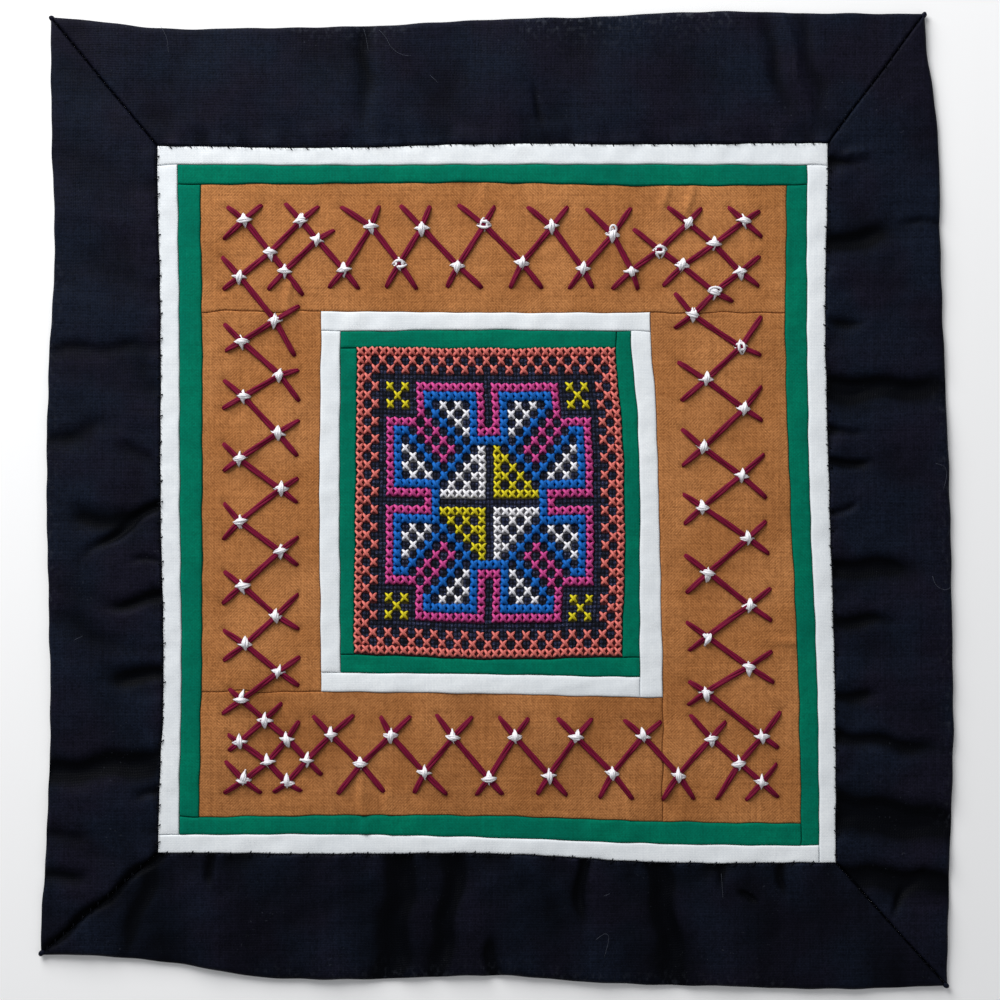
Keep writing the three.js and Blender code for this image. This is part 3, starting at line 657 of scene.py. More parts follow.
def cloth_sheet(node, cloth_name, bounds, side, edge_rolls=None):
    """One cut and sewn piece of cloth, which stands for the node of the same name."""
    cloth = CLOTHS[cloth_name]
    rolls = dict.fromkeys(("left", "right", "bottom", "top"), cloth["roll"]) | (edge_rolls or {})
    us, vs = cloth_grid(cloth_name, bounds, rolls)
    u, v = np.meshgrid(us, vs)
    x, y = place_in(bounds, u, v)
    across = bounds["right"](y) - bounds["left"](y)
    up = bounds["top"](x) - bounds["bottom"](x)
    inward = {"left": u * across, "right": (1 - u) * across, "bottom": v * up, "top": (1 - v) * up}
    rounding = edge_roundness(inward, rolls)
    belly = 4 * cloth["belly"] * np.sqrt(u * (1 - u) * v * (1 - v))
    shape = sum(fold_rise(*fold, x, y) for fold in FOLDS.get(node, [])) + swells(node, cloth_name, x, y)
    if cloth_name == "border":
        shape = shape + border_gathers(node, side, x, y, inward)
    elif cloth_name == "tan":
        shape = shape - dimples(THREAD_ENDS, x, y, **DIMPLES["end"])
        shape = shape - dimples(KNOTS.values(), x, y, **DIMPLES["tie"])
    elif cloth_name == "centre":
        shape = shape + stitched_ground(u, v)
    flat = lerp(cloth["lip"], cloth["crown"], rounding)
    height = np.maximum(LEAST_HEIGHT, flat + (belly + shape) * rounding)
    faces, rim = shell(len(us), len(vs))
    top = np.stack([x, y, height], axis=-1).reshape(-1, 3)
    piece = new_piece(f"{node}_cloth", cloth["finish"], np.concatenate([top, top[rim] * (1, 1, 0)]), faces)
    piece.data.polygons.foreach_set("use_smooth", np.arange(len(faces)) < len(faces) - 1)
    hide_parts(node)
    grain = (top[:, :2] + GRAIN_ORIGIN) * MM
    if side in ("left", "right"):
        grain = (top[:, 1::-1] * (1, -1) + GRAIN_ORIGIN) * MM
    if cloth_name == "centre":
        grain = np.stack([u, v], axis=-1).reshape(-1, 2)
        fibre_shade = stitch_fibre_shade(u, v).reshape(-1, 4)
        set_on_points(piece, "fibre_shade", "FLOAT_COLOR", "color", np.concatenate([fibre_shade, fibre_shade[rim]]))
    grain_map(piece, np.concatenate([grain, grain[rim]]))
    wear = scuffed(side, x, y, inward[side]) * (cloth_name == "border")
    # Painted shade: each point's colour is darkened in creases, troughs of the swells, the mitre ditches and
    # the dimples round the threads, and over a few whole strips where the light falls off.
    painted_shade = np.clip(FALLOFF_SHADE.get(node, 0) - shape / FULL_SHADE_DEPTH, 0, 1)
    for name, amount in (("wear", wear.ravel()), ("painted_shade", painted_shade.ravel())):
        set_on_points(piece, name, "FLOAT", "value", np.concatenate([amount, amount[rim]]))


def border_gathers(node, side, x, y, inward):
    """The border's gathers along its whipped edge, and the ditches of its mitres."""
    along = x if side in LEVEL else y
    whipped = inward[OPPOSITE[side]]
    gathers = GATHERS["height"] * np.cos(along * math.tau / WHIP_PITCH) * np.exp(-whipped / GATHERS["reach"])
    crumples = CRUMPLES["height"] * ripple(x, y, CRUMPLES["apart"], node + " gathers")
    mitres = [edge for edge in inward if edge not in (side, OPPOSITE[side])]
    ditches = sum(np.exp(-((inward[edge] / DITCH["reach"]) ** 2)) for edge in mitres)
    return gathers + crumples * np.exp(-whipped / CRUMPLES["reach"]) - DITCH["depth"] * ditches


def stitch_fibre_shade(u, v):
    """The colour that the stitches' loose fibres lend the ground of their cells, painted as a shaded copy of
    their groove colour, and how strongly.
    """
    cells = np.zeros((CELLS, CELLS, 4))
    for slot, chart in cross_chart().items():
        # Painted shade: a third of the thread's groove colour, for its fibres lying in shade between the
        # crosses.
        shade = np.array(linear(THREAD_FINISHES[slot]["dark"])) * (0.35, 0.35, 0.35, 1)
        for column, row in chart:
            cells[row, column] = shade
    column = np.clip((u * CELLS).astype(int), 0, CELLS - 1)
    row = np.clip(((1 - v) * CELLS).astype(int), 0, CELLS - 1)
    return cells[row, column]


def stitched_ground(u, v):
    """The coarse weave, with a hole at every corner of a stitched cell."""
    count = CELLS * THREADS_PER_CELL
    near_corner = np.abs(np.cos(math.pi * u * CELLS)) * np.abs(np.cos(math.pi * v * CELLS))
    holes = near_corner ** HOLES["sharpness"]
    return WEAVE_HEIGHT * weave_relief(u * count, v * count) - HOLES["depth"] * holes


# Threads

def travelled(route):
    """How far along a route each of its points is."""
    return np.concatenate([[0], np.cumsum(np.linalg.norm(np.diff(route, axis=0), axis=1))])


def softened(points, rounds):
    """The same points with their corners eased, both ends kept."""
    for _ in range(rounds):
        points[1:-1] = (points[:-2] + points[1:-1] * 2 + points[2:]) / 4
    return points


class Strands:
    """Round strands gathered into one mesh, with a map that runs along and round each."""

    def __init__(self):
        self.points, self.faces, self.along, self.around = [], [], [], []
        self.count = 0

    def add(self, route, radius, sides=6, turn=0.0):
        """A strand along a route, given as points; its radius may change on the way."""
        route = np.asarray(route, float)
        radius = np.broadcast_to(radius, len(route))
        forward = np.gradient(route, axis=0)
        forward /= np.linalg.norm(forward, axis=1, keepdims=True)
        right = np.cross(forward, (0, 0, 1))
        right /= np.maximum(np.linalg.norm(right, axis=1, keepdims=True), 1e-6)
        over = np.cross(right, forward)
        angle = turn + np.arange(sides) * math.tau / sides
        ring = np.cos(angle)[None, :, None] * right[:, None] + np.sin(angle)[None, :, None] * over[:, None]
        self.points.append((route[:, None] + radius[:, None, None] * ring).reshape(-1, 3))
        index = np.arange(len(route) * sides).reshape(len(route), sides) + self.count
        beside = np.roll(index, -1, axis=1)
        quads = np.stack([index[:-1], index[1:], beside[1:], beside[:-1]], axis=-1).reshape(-1, 4)
        self.faces += quads.tolist()
        self.faces += [index[0].tolist(), index[-1][::-1].tolist()]
        travel = travelled(route)
        step = np.arange(sides)
        near = np.meshgrid(travel[:-1], step, indexing="ij")
        far = np.meshgrid(travel[1:], step, indexing="ij")
        self.along.append(np.stack([near[0], far[0], far[0], near[0]], axis=-1).ravel())
        self.around.append(np.stack([near[1], near[1], near[1] + 1, near[1] + 1], axis=-1).ravel() / sides)
        self.along.append(np.repeat([travel[0], travel[-1]], sides))
        self.around.append(np.concatenate([step, step[::-1]]) / sides)
        self.count += len(route) * sides

    def piece(self, name, slot):
        piece = new_piece(name, slot, np.concatenate(self.points), self.faces)
        piece.data.polygons.foreach_set("use_smooth", np.ones(len(self.faces), bool))
        strand_map = piece.data.uv_layers.new(name="strand")
        coordinates = np.stack([np.concatenate(self.along) * MM, np.concatenate(self.around)], axis=-1)
        strand_map.data.foreach_set("uv", coordinates.ravel())


def all_knots():
    """Every crossing of the laid threads, by name."""
    knots = dict(CORNER_KNOTS)
    for side, run in RUNS.items():
        for i, (p, q) in enumerate(zip(run["along"], run["across"])):
            knots[f"{side}_{i}"] = on_side(side, p, q)
    return knots


def run_tip(side, i, p, draw):
    """The end of a thread beyond crossing i of a side, on its row across the tan strip."""
    share = TIP_ROWS["inner" if i % 2 == 0 else "outer"]
    q = float(lerp(LINES["green_tan"][side](p), LINES["tan_white"][side](p), share)) + draw.uniform(-0.3, 0.3)
    return on_side(side, p, q)


def all_threads():
    """Every laid thread: its group, the points from end to end, and which of its crossings it lies over."""
    draw = random.Random("thread tips")
    threads = [
        {"group": "corners", "start": start, "knots": knots, "end": end}
        for start, knots, end in CORNER_THREADS
    ]
    for side, run in RUNS.items():
        for i in range(len(run["along"]) - 1):
            start = run_tip(side, i, run["before"][i], draw)
            end = run_tip(side, i + 1, run["after"][i + 1], draw)
            knots = [f"{side}_{i}", f"{side}_{i + 1}"]
            threads.append({"group": side, "start": start, "knots": knots, "end": end})
    laid = dict.fromkeys(KNOTS, 0)
    for thread in threads:
        passed = [KNOTS[name] for name in thread["knots"]]
        thread["route"] = np.array([thread["start"], *passed, thread["end"]], float)
        thread["over"] = [laid[name] for name in thread["knots"]]
        for name in thread["knots"]:
            laid[name] += 1
    return threads


KNOTS = all_knots()
THREADS = all_threads()
THREAD_ENDS = [thread["route"][end] for thread in THREADS for end in (0, -1)]


def thread_line(thread):
    """The middle of a laid thread, its fullness on the way, and how far along it each point is."""
    route = thread["route"]
    travel = travelled(route)
    s = np.linspace(0, travel[-1], max(12, round(travel[-1] / THREAD_STEP)))
    flat = softened(np.stack([np.interp(s, travel, route[:, axis]) for axis in (0, 1)], axis=-1), 3)
    ends = np.minimum(s, s[-1] - s)
    dive = THREAD_DIVES["depth"] * np.exp(-((ends / THREAD_DIVES["reach"]) ** 2))
    z = CLOTHS["tan"]["crown"] + THREAD_LIES - dive
    taper = np.sin(np.minimum(1, ends / THREAD_TAPERS["reach"]) * math.pi / 2)
    fullness = lerp(THREAD_TAPERS["to"], 1, taper)
    for at, over in zip(travel[1:-1], thread["over"]):
        near = np.exp(-(((s - at) / THREAD_PINCH["reach"]) ** 2))
        z = z + THREAD_LIFT["over" if over else "under"] * near
        fullness = fullness * (1 - THREAD_PINCH["share"] * near)
    return np.column_stack([flat, z]), fullness, s


def laid_threads():
    """The wine threads, each of two plies that lie side by side and rock a little."""
    draw = random.Random("laid threads")
    groups = {}
    for thread in THREADS:
        strands = groups.setdefault(thread["group"], Strands())
        line, fullness, s = thread_line(thread)
        forward = np.gradient(line, axis=0)
        right = np.cross(forward, (0, 0, 1))
        right /= np.linalg.norm(right, axis=1, keepdims=True)
        start = draw.uniform(0, math.tau)
        bow = draw.uniform(-0.15, 0.15) * np.sin(math.pi * s / s[-1])
        for ply in (0, 1):
            angle = ply * math.pi + 0.7 * np.sin(start + s * math.tau / THREAD_SWAY)
            away = np.cos(angle)[:, None] * right + np.sin(angle)[:, None] * np.array([0, 0, 0.7])
            offset = PLIES_APART * fullness[:, None] * away + bow[:, None] * right
            strands.add(line + offset, THREAD_RADIUS * fullness, sides=7, turn=0.3)
    for group, strands in groups.items():
        strands.piece(f"laid_threads_{group}", "wine_thread")


def tie_stitch(strands, middle, angle, rise, apart, draw):
    """A stitch of three strands that comes up through the cloth, swells and goes back down.

    Where its strands stand far apart, there are two, and an eye is left between them.
    """
    s = np.linspace(0, 1, 9)
    arch = np.sin(math.pi * s)
    way = np.array([math.cos(angle), math.sin(angle)])
    across = np.array([-way[1], way[0]])
    for lay in (-apart, 0.0, apart) if apart < SLACK else (-apart, apart):
        near = middle - way * TIE_REACH * draw.uniform(0.85, 1.12) + across * draw.gauss(0, 0.1)
        far = middle + way * TIE_REACH * draw.uniform(0.85, 1.12) + across * draw.gauss(0, 0.1)
        flat = lerp(near, far, s[:, None]) + across * (lay * arch[:, None])
        z = CLOTHS["tan"]["crown"] - 0.15 + (rise - 0.35 * abs(lay)) * arch**0.8
        radius = draw.uniform(*TIE_RADIUS) * (0.3 + 0.7 * arch)
        strands.add(np.column_stack([flat, z]), radius, turn=draw.uniform(0, 1))


def white_ties():
    """At each crossing a level and an upright white stitch cross, and a few of them keep a loose loop."""
    draw = random.Random("ties")
    strands = Strands()
    for name, (x, y) in KNOTS.items():
        lean = draw.gauss(0, TIE_STRAYS["lean"])
        apart = OPEN_TIES.get(name, draw.uniform(*TIE_SPREAD))
        level = {"middle": np.array([x, y]), "angle": lean + draw.gauss(0, TIE_STRAYS["turn"])}
        upright = {
            "middle": level["middle"] + (0, SLIPPED.get(name, draw.gauss(0, TIE_STRAYS["shift"]))),
            "angle": lean + math.pi / 2 + draw.gauss(0, TIE_STRAYS["turn"]),
        }
        for stitch, rise in zip(draw.sample([level, upright], 2), TIE_RISES):
            tie_stitch(strands, stitch["middle"], stitch["angle"], rise, apart, draw)
    for loop in LOOPS:
        x, y = KNOTS[loop["knot"]]
        t = np.linspace(-0.5, 0.5, 21) * math.tau * 0.92 + math.pi / 2
        ring = np.stack([
            x + loop["shift"][0] + np.cos(t) * (loop["width"] / 2 - LOOP_RADIUS),
            y + loop["shift"][1] + np.sin(t) * (loop["height"] / 2 - LOOP_RADIUS),
            CLOTHS["tan"]["crown"] + 1.1 + 0.25 * np.sin(t),
        ], axis=-1)
        strands.add(ring, LOOP_RADIUS)
    strands.piece("white_ties", "white_thread")


# Cross stitches

def line_of(start, end):
    """The cells from one to another, along a row, a column or a diagonal."""
    count = max(abs(end[0] - start[0]), abs(end[1] - start[1]))
    return [
        (round(lerp(start[0], end[0], k / count)), round(lerp(start[1], end[1], k / count)))
        for k in range(count + 1)
    ]


def mirrored(cells):
    """The cells with their mirror images: left to right, top to bottom, and across the diagonal."""
    last = CELLS - 1
    return {
        (column, row)
        for a, b in cells
        for c, r in ((a, b), (b, a))
        for column in (c, last - c)
        for row in (r, last - r)
    }


def cross_chart():
    """The cells of each colour, counted from the top left corner."""
    last = CELLS - 1
    frame = set()
    for column in range(CELLS):
        for row in range(CELLS):
            depth = min(column, row, last - column, last - row)
            if depth == 0 or (depth <= 2 and (column + row) % 2 == 0):
                frame.add((column, row))
    pink = [
        *line_of((8, 4), (16, 4)), *line_of((8, 4), (8, 7)), *line_of((16, 4), (16, 9)),
        *line_of((16, 9), (17, 9)), *line_of((9, 8), (12, 11)),
    ]
    blue = [
        *line_of((9, 5), (15, 5)), *line_of((15, 5), (15, 10)), *line_of((15, 10), (17, 10)),
        *line_of((9, 6), (14, 11)), (13, 12),
    ]
    white = mirrored([(11, 6), (13, 6), (12, 7), (14, 7), (13, 8), (14, 9)])
    yellow = mirrored([(4, 4), (6, 4), (5, 5), (6, 6)])
    sail = {11: (16,), 12: (15, 16), 13: (14, 16), 14: (13, 15, 16), 15: (12, 14, 16), 16: range(11, 17)}
    for row, columns in sail.items():
        for column in columns:
            white |= {(column, row), (last - column, last - row)}
            yellow |= {(last - column, row), (column, last - row)}
    return {
        "coral_thread": frame, "pink_thread": mirrored(pink), "blue_thread": mirrored(blue),
        "white_thread": white, "yellow_thread": yellow,
    }


def leg_end(column, row, corner, draw):
    """Where a leg of a cross goes through the ground, near a corner of its cell."""
    u = (column + lerp(0.5, corner[0], STITCH_REACH)) / CELLS
    v = 1 - (row + lerp(0.5, corner[1], STITCH_REACH)) / CELLS
    x, y = place_in(LINES["inner_centre"], u, v)
    stray = (draw.gauss(0, STITCH_STRAY), draw.gauss(0, STITCH_STRAY))
    return np.array([float(x), float(y)]) + STITCH_SHIFT + stray


def cross_stitches():
    """Two legs for each cross, from corner to corner of its cell, the second over the first."""
    draw = random.Random("cross stitches")
    s = np.linspace(0, 1, 7)
    arch = np.sin(math.pi * s)
    legs = [((0, 1), (1, 0), LEG_RISES["under"]), ((0, 0), (1, 1), LEG_RISES["over"])]
    for slot, cells in cross_chart().items():
        strands = Strands()
        for column, row in sorted(cells):
            for start, end, rise in legs:
                near, far = leg_end(column, row, start, draw), leg_end(column, row, end, draw)
                flat = lerp(near, far, s[:, None]) + draw.gauss(0, STITCH_STRAY) * arch[:, None]
                z = CLOTHS["centre"]["crown"] - 0.1 + rise * draw.uniform(0.9, 1.1) * arch**0.6
                radius = STITCH_RADIUS[slot] * draw.uniform(0.9, 1.1) * (0.5 + 0.5 * arch**0.7)
                strands.add(np.column_stack([flat, z]), radius, sides=5, turn=0.9)
        strands.piece(f"cross_stitches_{slot.split('_')[0]}", slot)


# Black stitches, fibres and tips of the border

def along_side(side, pitch, draw):
    """Places along the border's inner seam: the point, the way along it and the way inwards."""
    low, high = sorted(SEAMS["border_white"][side][:2])
    run = np.array(on_side(side, 1.0, 0.0))
    inwards = np.array({"top": (0, -1), "bottom": (0, 1), "left": (1, 0), "right": (-1, 0)}[side], float)
    for k in range(int((high - low) / pitch)):
        p = low + pitch * (k + 0.5) + draw.uniform(-0.2, 0.2) * pitch
        q = float(LINES["border_white"][side](p))
        yield np.array(on_side(side, p, q)), run, inwards


def whip_stitches():
    """Slanted black stitches over the border's inner edge, and fine fibres that stray from it."""
    draw = random.Random("whip stitches")
    strands, fibres = Strands(), Strands()
    s = np.linspace(0, 1, 6)
    high, low = CLOTHS["border"]["crown"] + 0.1, CLOTHS["outer_white"]["crown"]
    for side in ("top", "right", "bottom", "left"):
        for point, run, inwards in along_side(side, WHIP_PITCH, draw):
            slant = draw.uniform(*WHIP_ENDS["slant"])
            start = point - inwards * WHIP_ENDS["behind"] - run * slant
            end = point + inwards * draw.uniform(*WHIP_ENDS["ahead"]) + run * slant
            z = lerp(high, low, s) + 0.22 * np.sin(math.pi * s) - 0.35 * (s == 1) - 0.3 * (s == 0)
            route = np.column_stack([lerp(start, end, s[:, None]), z])
            strands.add(route, WHIP_RADIUS * (0.7 + 0.3 * np.sin(math.pi * s)), sides=5)
        for point, run, inwards in along_side(side, FIBRE_PITCH, draw):
            reach = draw.uniform(0.15, 0.55)
            drift = draw.gauss(0, 0.4)
            route = [
                (*(point - inwards * 0.5), high),
                (*(point + inwards * reach * 0.4 + run * drift * 0.3), high),
                (*(point + inwards * reach + run * drift), low + draw.uniform(0.1, 0.5)),
            ]
            fibres.add(route, (0.07, 0.06, 0.03), sides=3)
    strands.piece("whip_stitches", "black_thread")
    fibres.piece("edge_fibres", "black_thread")


def mitre_stitches():
    """Small stitches that close the border's diagonal seams, and the folded tips at its four corners."""
    draw = random.Random("mitre stitches")
    strands, tips = Strands(), Strands()
    s = np.linspace(0, 1, 5)
    t = np.linspace(-1, 1, 9)
    z = CLOTHS["border"]["crown"] - 0.25 + 0.25 * np.sin(math.pi * s)
    for corner, outer in corners_of("edge").items():
        outer, inner = np.array(outer), np.array(corners_of("border_white")[corner])
        length = np.linalg.norm(inner - outer)
        seam = (inner - outer) / length
        side = np.array([-seam[1], seam[0]])
        reach = side * MITRE_REACH["across"] + seam * MITRE_REACH["along"]
        for k in range(1, int(length / MITRE_PITCH)):
            middle = outer + seam * (k + draw.uniform(-0.15, 0.15)) * MITRE_PITCH
            strands.add(np.column_stack([lerp(middle - reach, middle + reach, s[:, None]), z]), 0.1, sides=5)
        nub = outer + seam * (0.5 - 0.85 * t[:, None]) + side * 0.1 * np.cos(3 * t[:, None])
        tips.add(np.column_stack([nub, np.full(9, 0.95)]), TIP_RADIUS * np.sqrt(1.02 - t**2), sides=10)
    strands.piece("mitre_stitches", "black_thread")
    tips.piece("corner_tips", "black_cloth")


def smooth_route(points, count):
    """Evenly many points on a soft curve through the given ones."""
    points = np.array(points, float)
    knots = np.linspace(0, 1, len(points))
    t = np.linspace(0, 1, count)
    return softened(np.stack([np.interp(t, knots, points[:, axis]) for axis in (0, 1)], axis=-1), count // 4)


def lint():
    """Loose pale fibres caught on the black cloth."""
    draw = random.Random("lint")
    strands = Strands()
    height = CLOTHS["border"]["crown"] + 0.45
    for points in LINT:
        route = smooth_route(points, 12)
        z = height + 0.25 * np.sin(np.linspace(0, math.pi, 12)) + draw.uniform(-0.05, 0.15)
        strands.add(np.column_stack([route, z]), draw.uniform(*LINT_RADIUS), sides=4)
    strands.piece("lint_fibres", "lint")


# Materials

class Nodes:
    """A node tree filled from left to right."""

    def __init__(self, tree):
        self.tree = tree

    def add(self, kind, *values, at=None, **settings):
        """A new node, its inputs given in order or by their places."""
        node = self.tree.nodes.new(kind)
        node.location = (190 * len(self.tree.nodes), 0)
        for key, value in settings.items():
            setattr(node, key, value)
        for value, place in zip(values, at or range(len(values))):
            self.put(value, node.inputs[place])
        return node

    def put(self, value, socket):
        if isinstance(value, bpy.types.NodeSocket):
            self.tree.links.new(value, socket)
        else:
            socket.default_value = value

    def math(self, operation, *values):
        return self.add("ShaderNodeMath", *values, operation=operation).outputs[0]

    def times(self, value, factor, plus=None):
        """A product, and something added to it where that is given."""
        if plus is None:
            return self.math("MULTIPLY", value, factor)
        return self.math("MULTIPLY_ADD", value, factor, plus)

    def scaled(self, vector, scale):
        return self.add("ShaderNodeVectorMath", vector, scale, operation="MULTIPLY").outputs[0]

    def noise(self, vector, scale, detail=2.0):
        node = self.add("ShaderNodeTexNoise", vector, scale, detail, at=("Vector", "Scale", "Detail"))
        return node.outputs["Fac"]

    def chance(self, value, place, dimensions):
        """A random value for each whole number, or for each pair of them."""
        node = self.add("ShaderNodeTexWhiteNoise", value, at=(place,), noise_dimensions=dimensions)
        return node.outputs["Value"]

    def ranged(self, value, low, high, to_low=0.0, to_high=1.0):
        return self.add("ShaderNodeMapRange", value, low, high, to_low, to_high).outputs[0]

    def mixed(self, share, first, second):
        return self.add("ShaderNodeMix", share, first, second, at=(0, 2, 3)).outputs[0]

    def coloured(self, share, first, second):
        return self.add("ShaderNodeMix", share, first, second, at=(0, 6, 7), data_type="RGBA").outputs[2]

    def attribute(self, name):
        return self.add("ShaderNodeAttribute", attribute_name=name).outputs

    def map(self, name):
        return self.add("ShaderNodeUVMap", uv_map=name).outputs["UV"]

    def group(self, tree, **values):
        places = [name.replace("_", " ") for name in values]
        return self.add("ShaderNodeGroup", *values.values(), at=places, node_tree=tree).outputs


def shader_group(name, inputs, outputs):
    """An empty shader group: its nodes, what it is given and what it puts out."""
    tree = bpy.data.node_groups.new(name, "ShaderNodeTree")
    for socket, value in inputs.items():
        kind = "NodeSocketVector" if value is None else "NodeSocketFloat"
        item = tree.interface.new_socket(socket, in_out="INPUT", socket_type=kind)
        if value is not None:
            item.default_value = value
    for socket in outputs:
        tree.interface.new_socket(socket, in_out="OUTPUT", socket_type="NodeSocketFloat")
    nodes = Nodes(tree)
    given = nodes.add("NodeGroupInput").outputs
    return nodes, given, nodes.add("NodeGroupOutput").inputs


def plain_weave_group():
    """Threads over and under one another. Height is their relief, crossed by a hatch that leans one way in
    one patch and the other way in the next; Tone differs from thread to thread, Speck at every crossing.
    """
    nodes, given, result = shader_group(
        "plain_weave", {"Vector": None, "Pitch U": 0.0004, "Pitch V": 0.0004, "Waver": 0.0002, "Hatch": 0.5},
        ("Height", "Tone", "Speck"),
    )
    shift = nodes.times(nodes.noise(given["Vector"], 90.0, detail=1.0), given["Waver"])
    parts = nodes.add("ShaderNodeSeparateXYZ", given["Vector"]).outputs
    counts = [
        nodes.math("DIVIDE", nodes.math("ADD", parts[axis], shift), given[pitch])
        for axis, pitch in ((0, "Pitch U"), (1, "Pitch V"))
    ]
    whole = [nodes.math("FLOOR", count) for count in counts]
    crests = [nodes.math("SINE", nodes.times(nodes.math("FRACT", count), math.pi)) for count in counts]
    crossing = nodes.math("FLOORED_MODULO", nodes.math("ADD", *whole), 2.0)
    lifted = [
        nodes.times(nodes.math("POWER", over, 0.6), nodes.times(under, 0.6, plus=0.4))
        for over, under in (crests, crests[::-1])
    ]
    leaning = [
        nodes.math("COSINE", nodes.times(nodes.math(way, *counts), math.pi)) for way in ("ADD", "SUBTRACT")
    ]
    patch = nodes.ranged(nodes.noise(given["Vector"], 130.0, detail=1.0), 0.44, 0.56)
    hatch = nodes.times(nodes.mixed(patch, *leaning), 0.5, plus=0.5)
    nodes.put(nodes.mixed(given["Hatch"], nodes.mixed(crossing, *lifted), hatch), result["Height"])
    tones = [nodes.chance(count, "W", "1D") for count in whole]
    nodes.put(nodes.mixed(crossing, *tones), result["Tone"])
    pair = nodes.add("ShaderNodeCombineXYZ", *whole).outputs[0]
    nodes.put(nodes.chance(pair, "Vector", "2D"), result["Speck"])
    return nodes.tree


def slub_group():
    """Uneven thickness of the yarn: long faint streaks both ways of the cloth, between 0 and 1."""
    nodes, given, result = shader_group("slubs", {"Vector": None}, ("Shade",))
    streaks = [
        nodes.ranged(nodes.noise(nodes.scaled(given["Vector"], stretch), 1.0, detail=2.0), 0.3, 0.7)
        for stretch in ((45.0, 1300.0, 1.0), (1300.0, 45.0, 1.0))
    ]
    nodes.put(nodes.times(nodes.math("ADD", *streaks), 0.5), result["Shade"])
    return nodes.tree


def fluff_group():
    """Short pale fibres and specks that lie here and there on the cloth: a mask, mostly 0."""
    nodes, given, result = shader_group("fluff", {"Vector": None}, ("Mask",))
    specks = nodes.ranged(nodes.noise(given["Vector"], 1500.0, detail=1.0), 0.7, 0.8)
    patches = nodes.ranged(nodes.noise(given["Vector"], 60.0, detail=2.0), 0.5, 0.7)
    nodes.put(nodes.times(specks, patches), result["Mask"])
    return nodes.tree


def ply_group():
    """The twist of a thread: Height is the crowns of its plies, Fibre the fine hairs that run with them."""
    nodes, given, result = shader_group(
        "ply_twist", {"Vector": None, "Twist": 0.001, "Plies": 2.0}, ("Height", "Fibre")
    )
    parts = nodes.add("ShaderNodeSeparateXYZ", given["Vector"]).outputs
    turns = nodes.math("DIVIDE", parts[0], given["Twist"])
    phase = nodes.times(parts[1], given["Plies"], plus=turns)
    crown = nodes.math("ABSOLUTE", nodes.math("SINE", nodes.times(phase, math.pi)))
    nodes.put(nodes.math("POWER", crown, 0.5), result["Height"])
    hair = nodes.add("ShaderNodeCombineXYZ", nodes.times(turns, 1.5), nodes.times(phase, 9.0)).outputs[0]
    nodes.put(nodes.ranged(nodes.noise(hair, 1.0), 0.3, 0.7), result["Fibre"])
    return nodes.tree


def blank_material(name, shine):
    """A material whose constant values sit on the shader's own sockets."""
    material = bpy.data.materials.new(name)
    material.use_nodes = True
    nodes = Nodes(material.node_tree)
    shader = material.node_tree.nodes["Principled BSDF"].inputs
    shader["Specular IOR Level"].default_value = shine
    return material, nodes, shader


def bumped(nodes, height, depth, shader):
    """Turns a relief of the given depth into the surface's normal."""
    bump = nodes.add("ShaderNodeBump", 1.0, depth * MM, height, at=("Strength", "Distance", "Height"))
    nodes.put(bump.outputs["Normal"], shader["Normal"])


def cloth_material(name, look, groups):
    """A fine plain-woven cotton: its weave with painted shade in its hollows, slubs, slow mottling, fluff,
    rubbed places, and painted shade in its creases.
    """
    material, nodes, shader = blank_material(name, look["shine"])
    grain = nodes.map("grain")
    place = nodes.add("ShaderNodeTexCoord").outputs["Object"]
    pitch_u, pitch_v = (pitch * MM for pitch in look["pitch"])
    weave = nodes.group(
        groups["weave"], Vector=grain, Pitch_U=pitch_u, Pitch_V=pitch_v, Waver=0.0008, Hatch=look["hatch"],
    )
    slubs = nodes.group(groups["slubs"], Vector=grain)["Shade"]
    mottle = nodes.ranged(nodes.noise(place, 55.0, detail=3.0), 0.4, 0.6)
    blotch = nodes.ranged(nodes.noise(place, 1000.0), 0.35, 0.65)
    tone = nodes.times(weave["Tone"], 0.22, plus=nodes.times(weave["Speck"], 0.38))
    tone = nodes.times(blotch, 0.16, plus=tone)
    # Partly painted shade: the weave's hollows lean towards the dark; slubs and the threads' own tones make
    # up the rest.
    share = nodes.mixed(look["uneven"], weave["Height"], nodes.times(slubs, 0.3, plus=tone))
    # Painted shade: creases, ditches, dimples and a few whole strips are darkened towards the weave's dark.
    share = nodes.times(share, nodes.ranged(nodes.attribute("painted_shade")["Fac"], 0.0, 1.0, 1.0, 0.05))
    light = nodes.coloured(mottle, linear(look["light"]), linear(look["drift"]))
    colour = nodes.coloured(share, linear(look["dark"]), light)
    fluff = nodes.group(groups["fluff"], Vector=place)["Mask"]
    rubbed = nodes.ranged(nodes.noise(nodes.scaled(place, (900.0, 600.0, 1.0)), 1.0, detail=4.0), 0.52, 0.8)
    worn = nodes.times(rubbed, nodes.attribute("wear")["Fac"])
    pale = nodes.math("MAXIMUM", nodes.times(fluff, 0.3), worn)
    nodes.put(nodes.coloured(pale, colour, linear(look["fluff"])), shader["Base Color"])
    rough = look["roughness"]
    nodes.put(nodes.ranged(weave["Tone"], 0.0, 1.0, rough - 0.06, rough + 0.06), shader["Roughness"])
    bumped(nodes, nodes.times(slubs, 0.6, plus=weave["Height"]), look["relief"], shader)
    return material


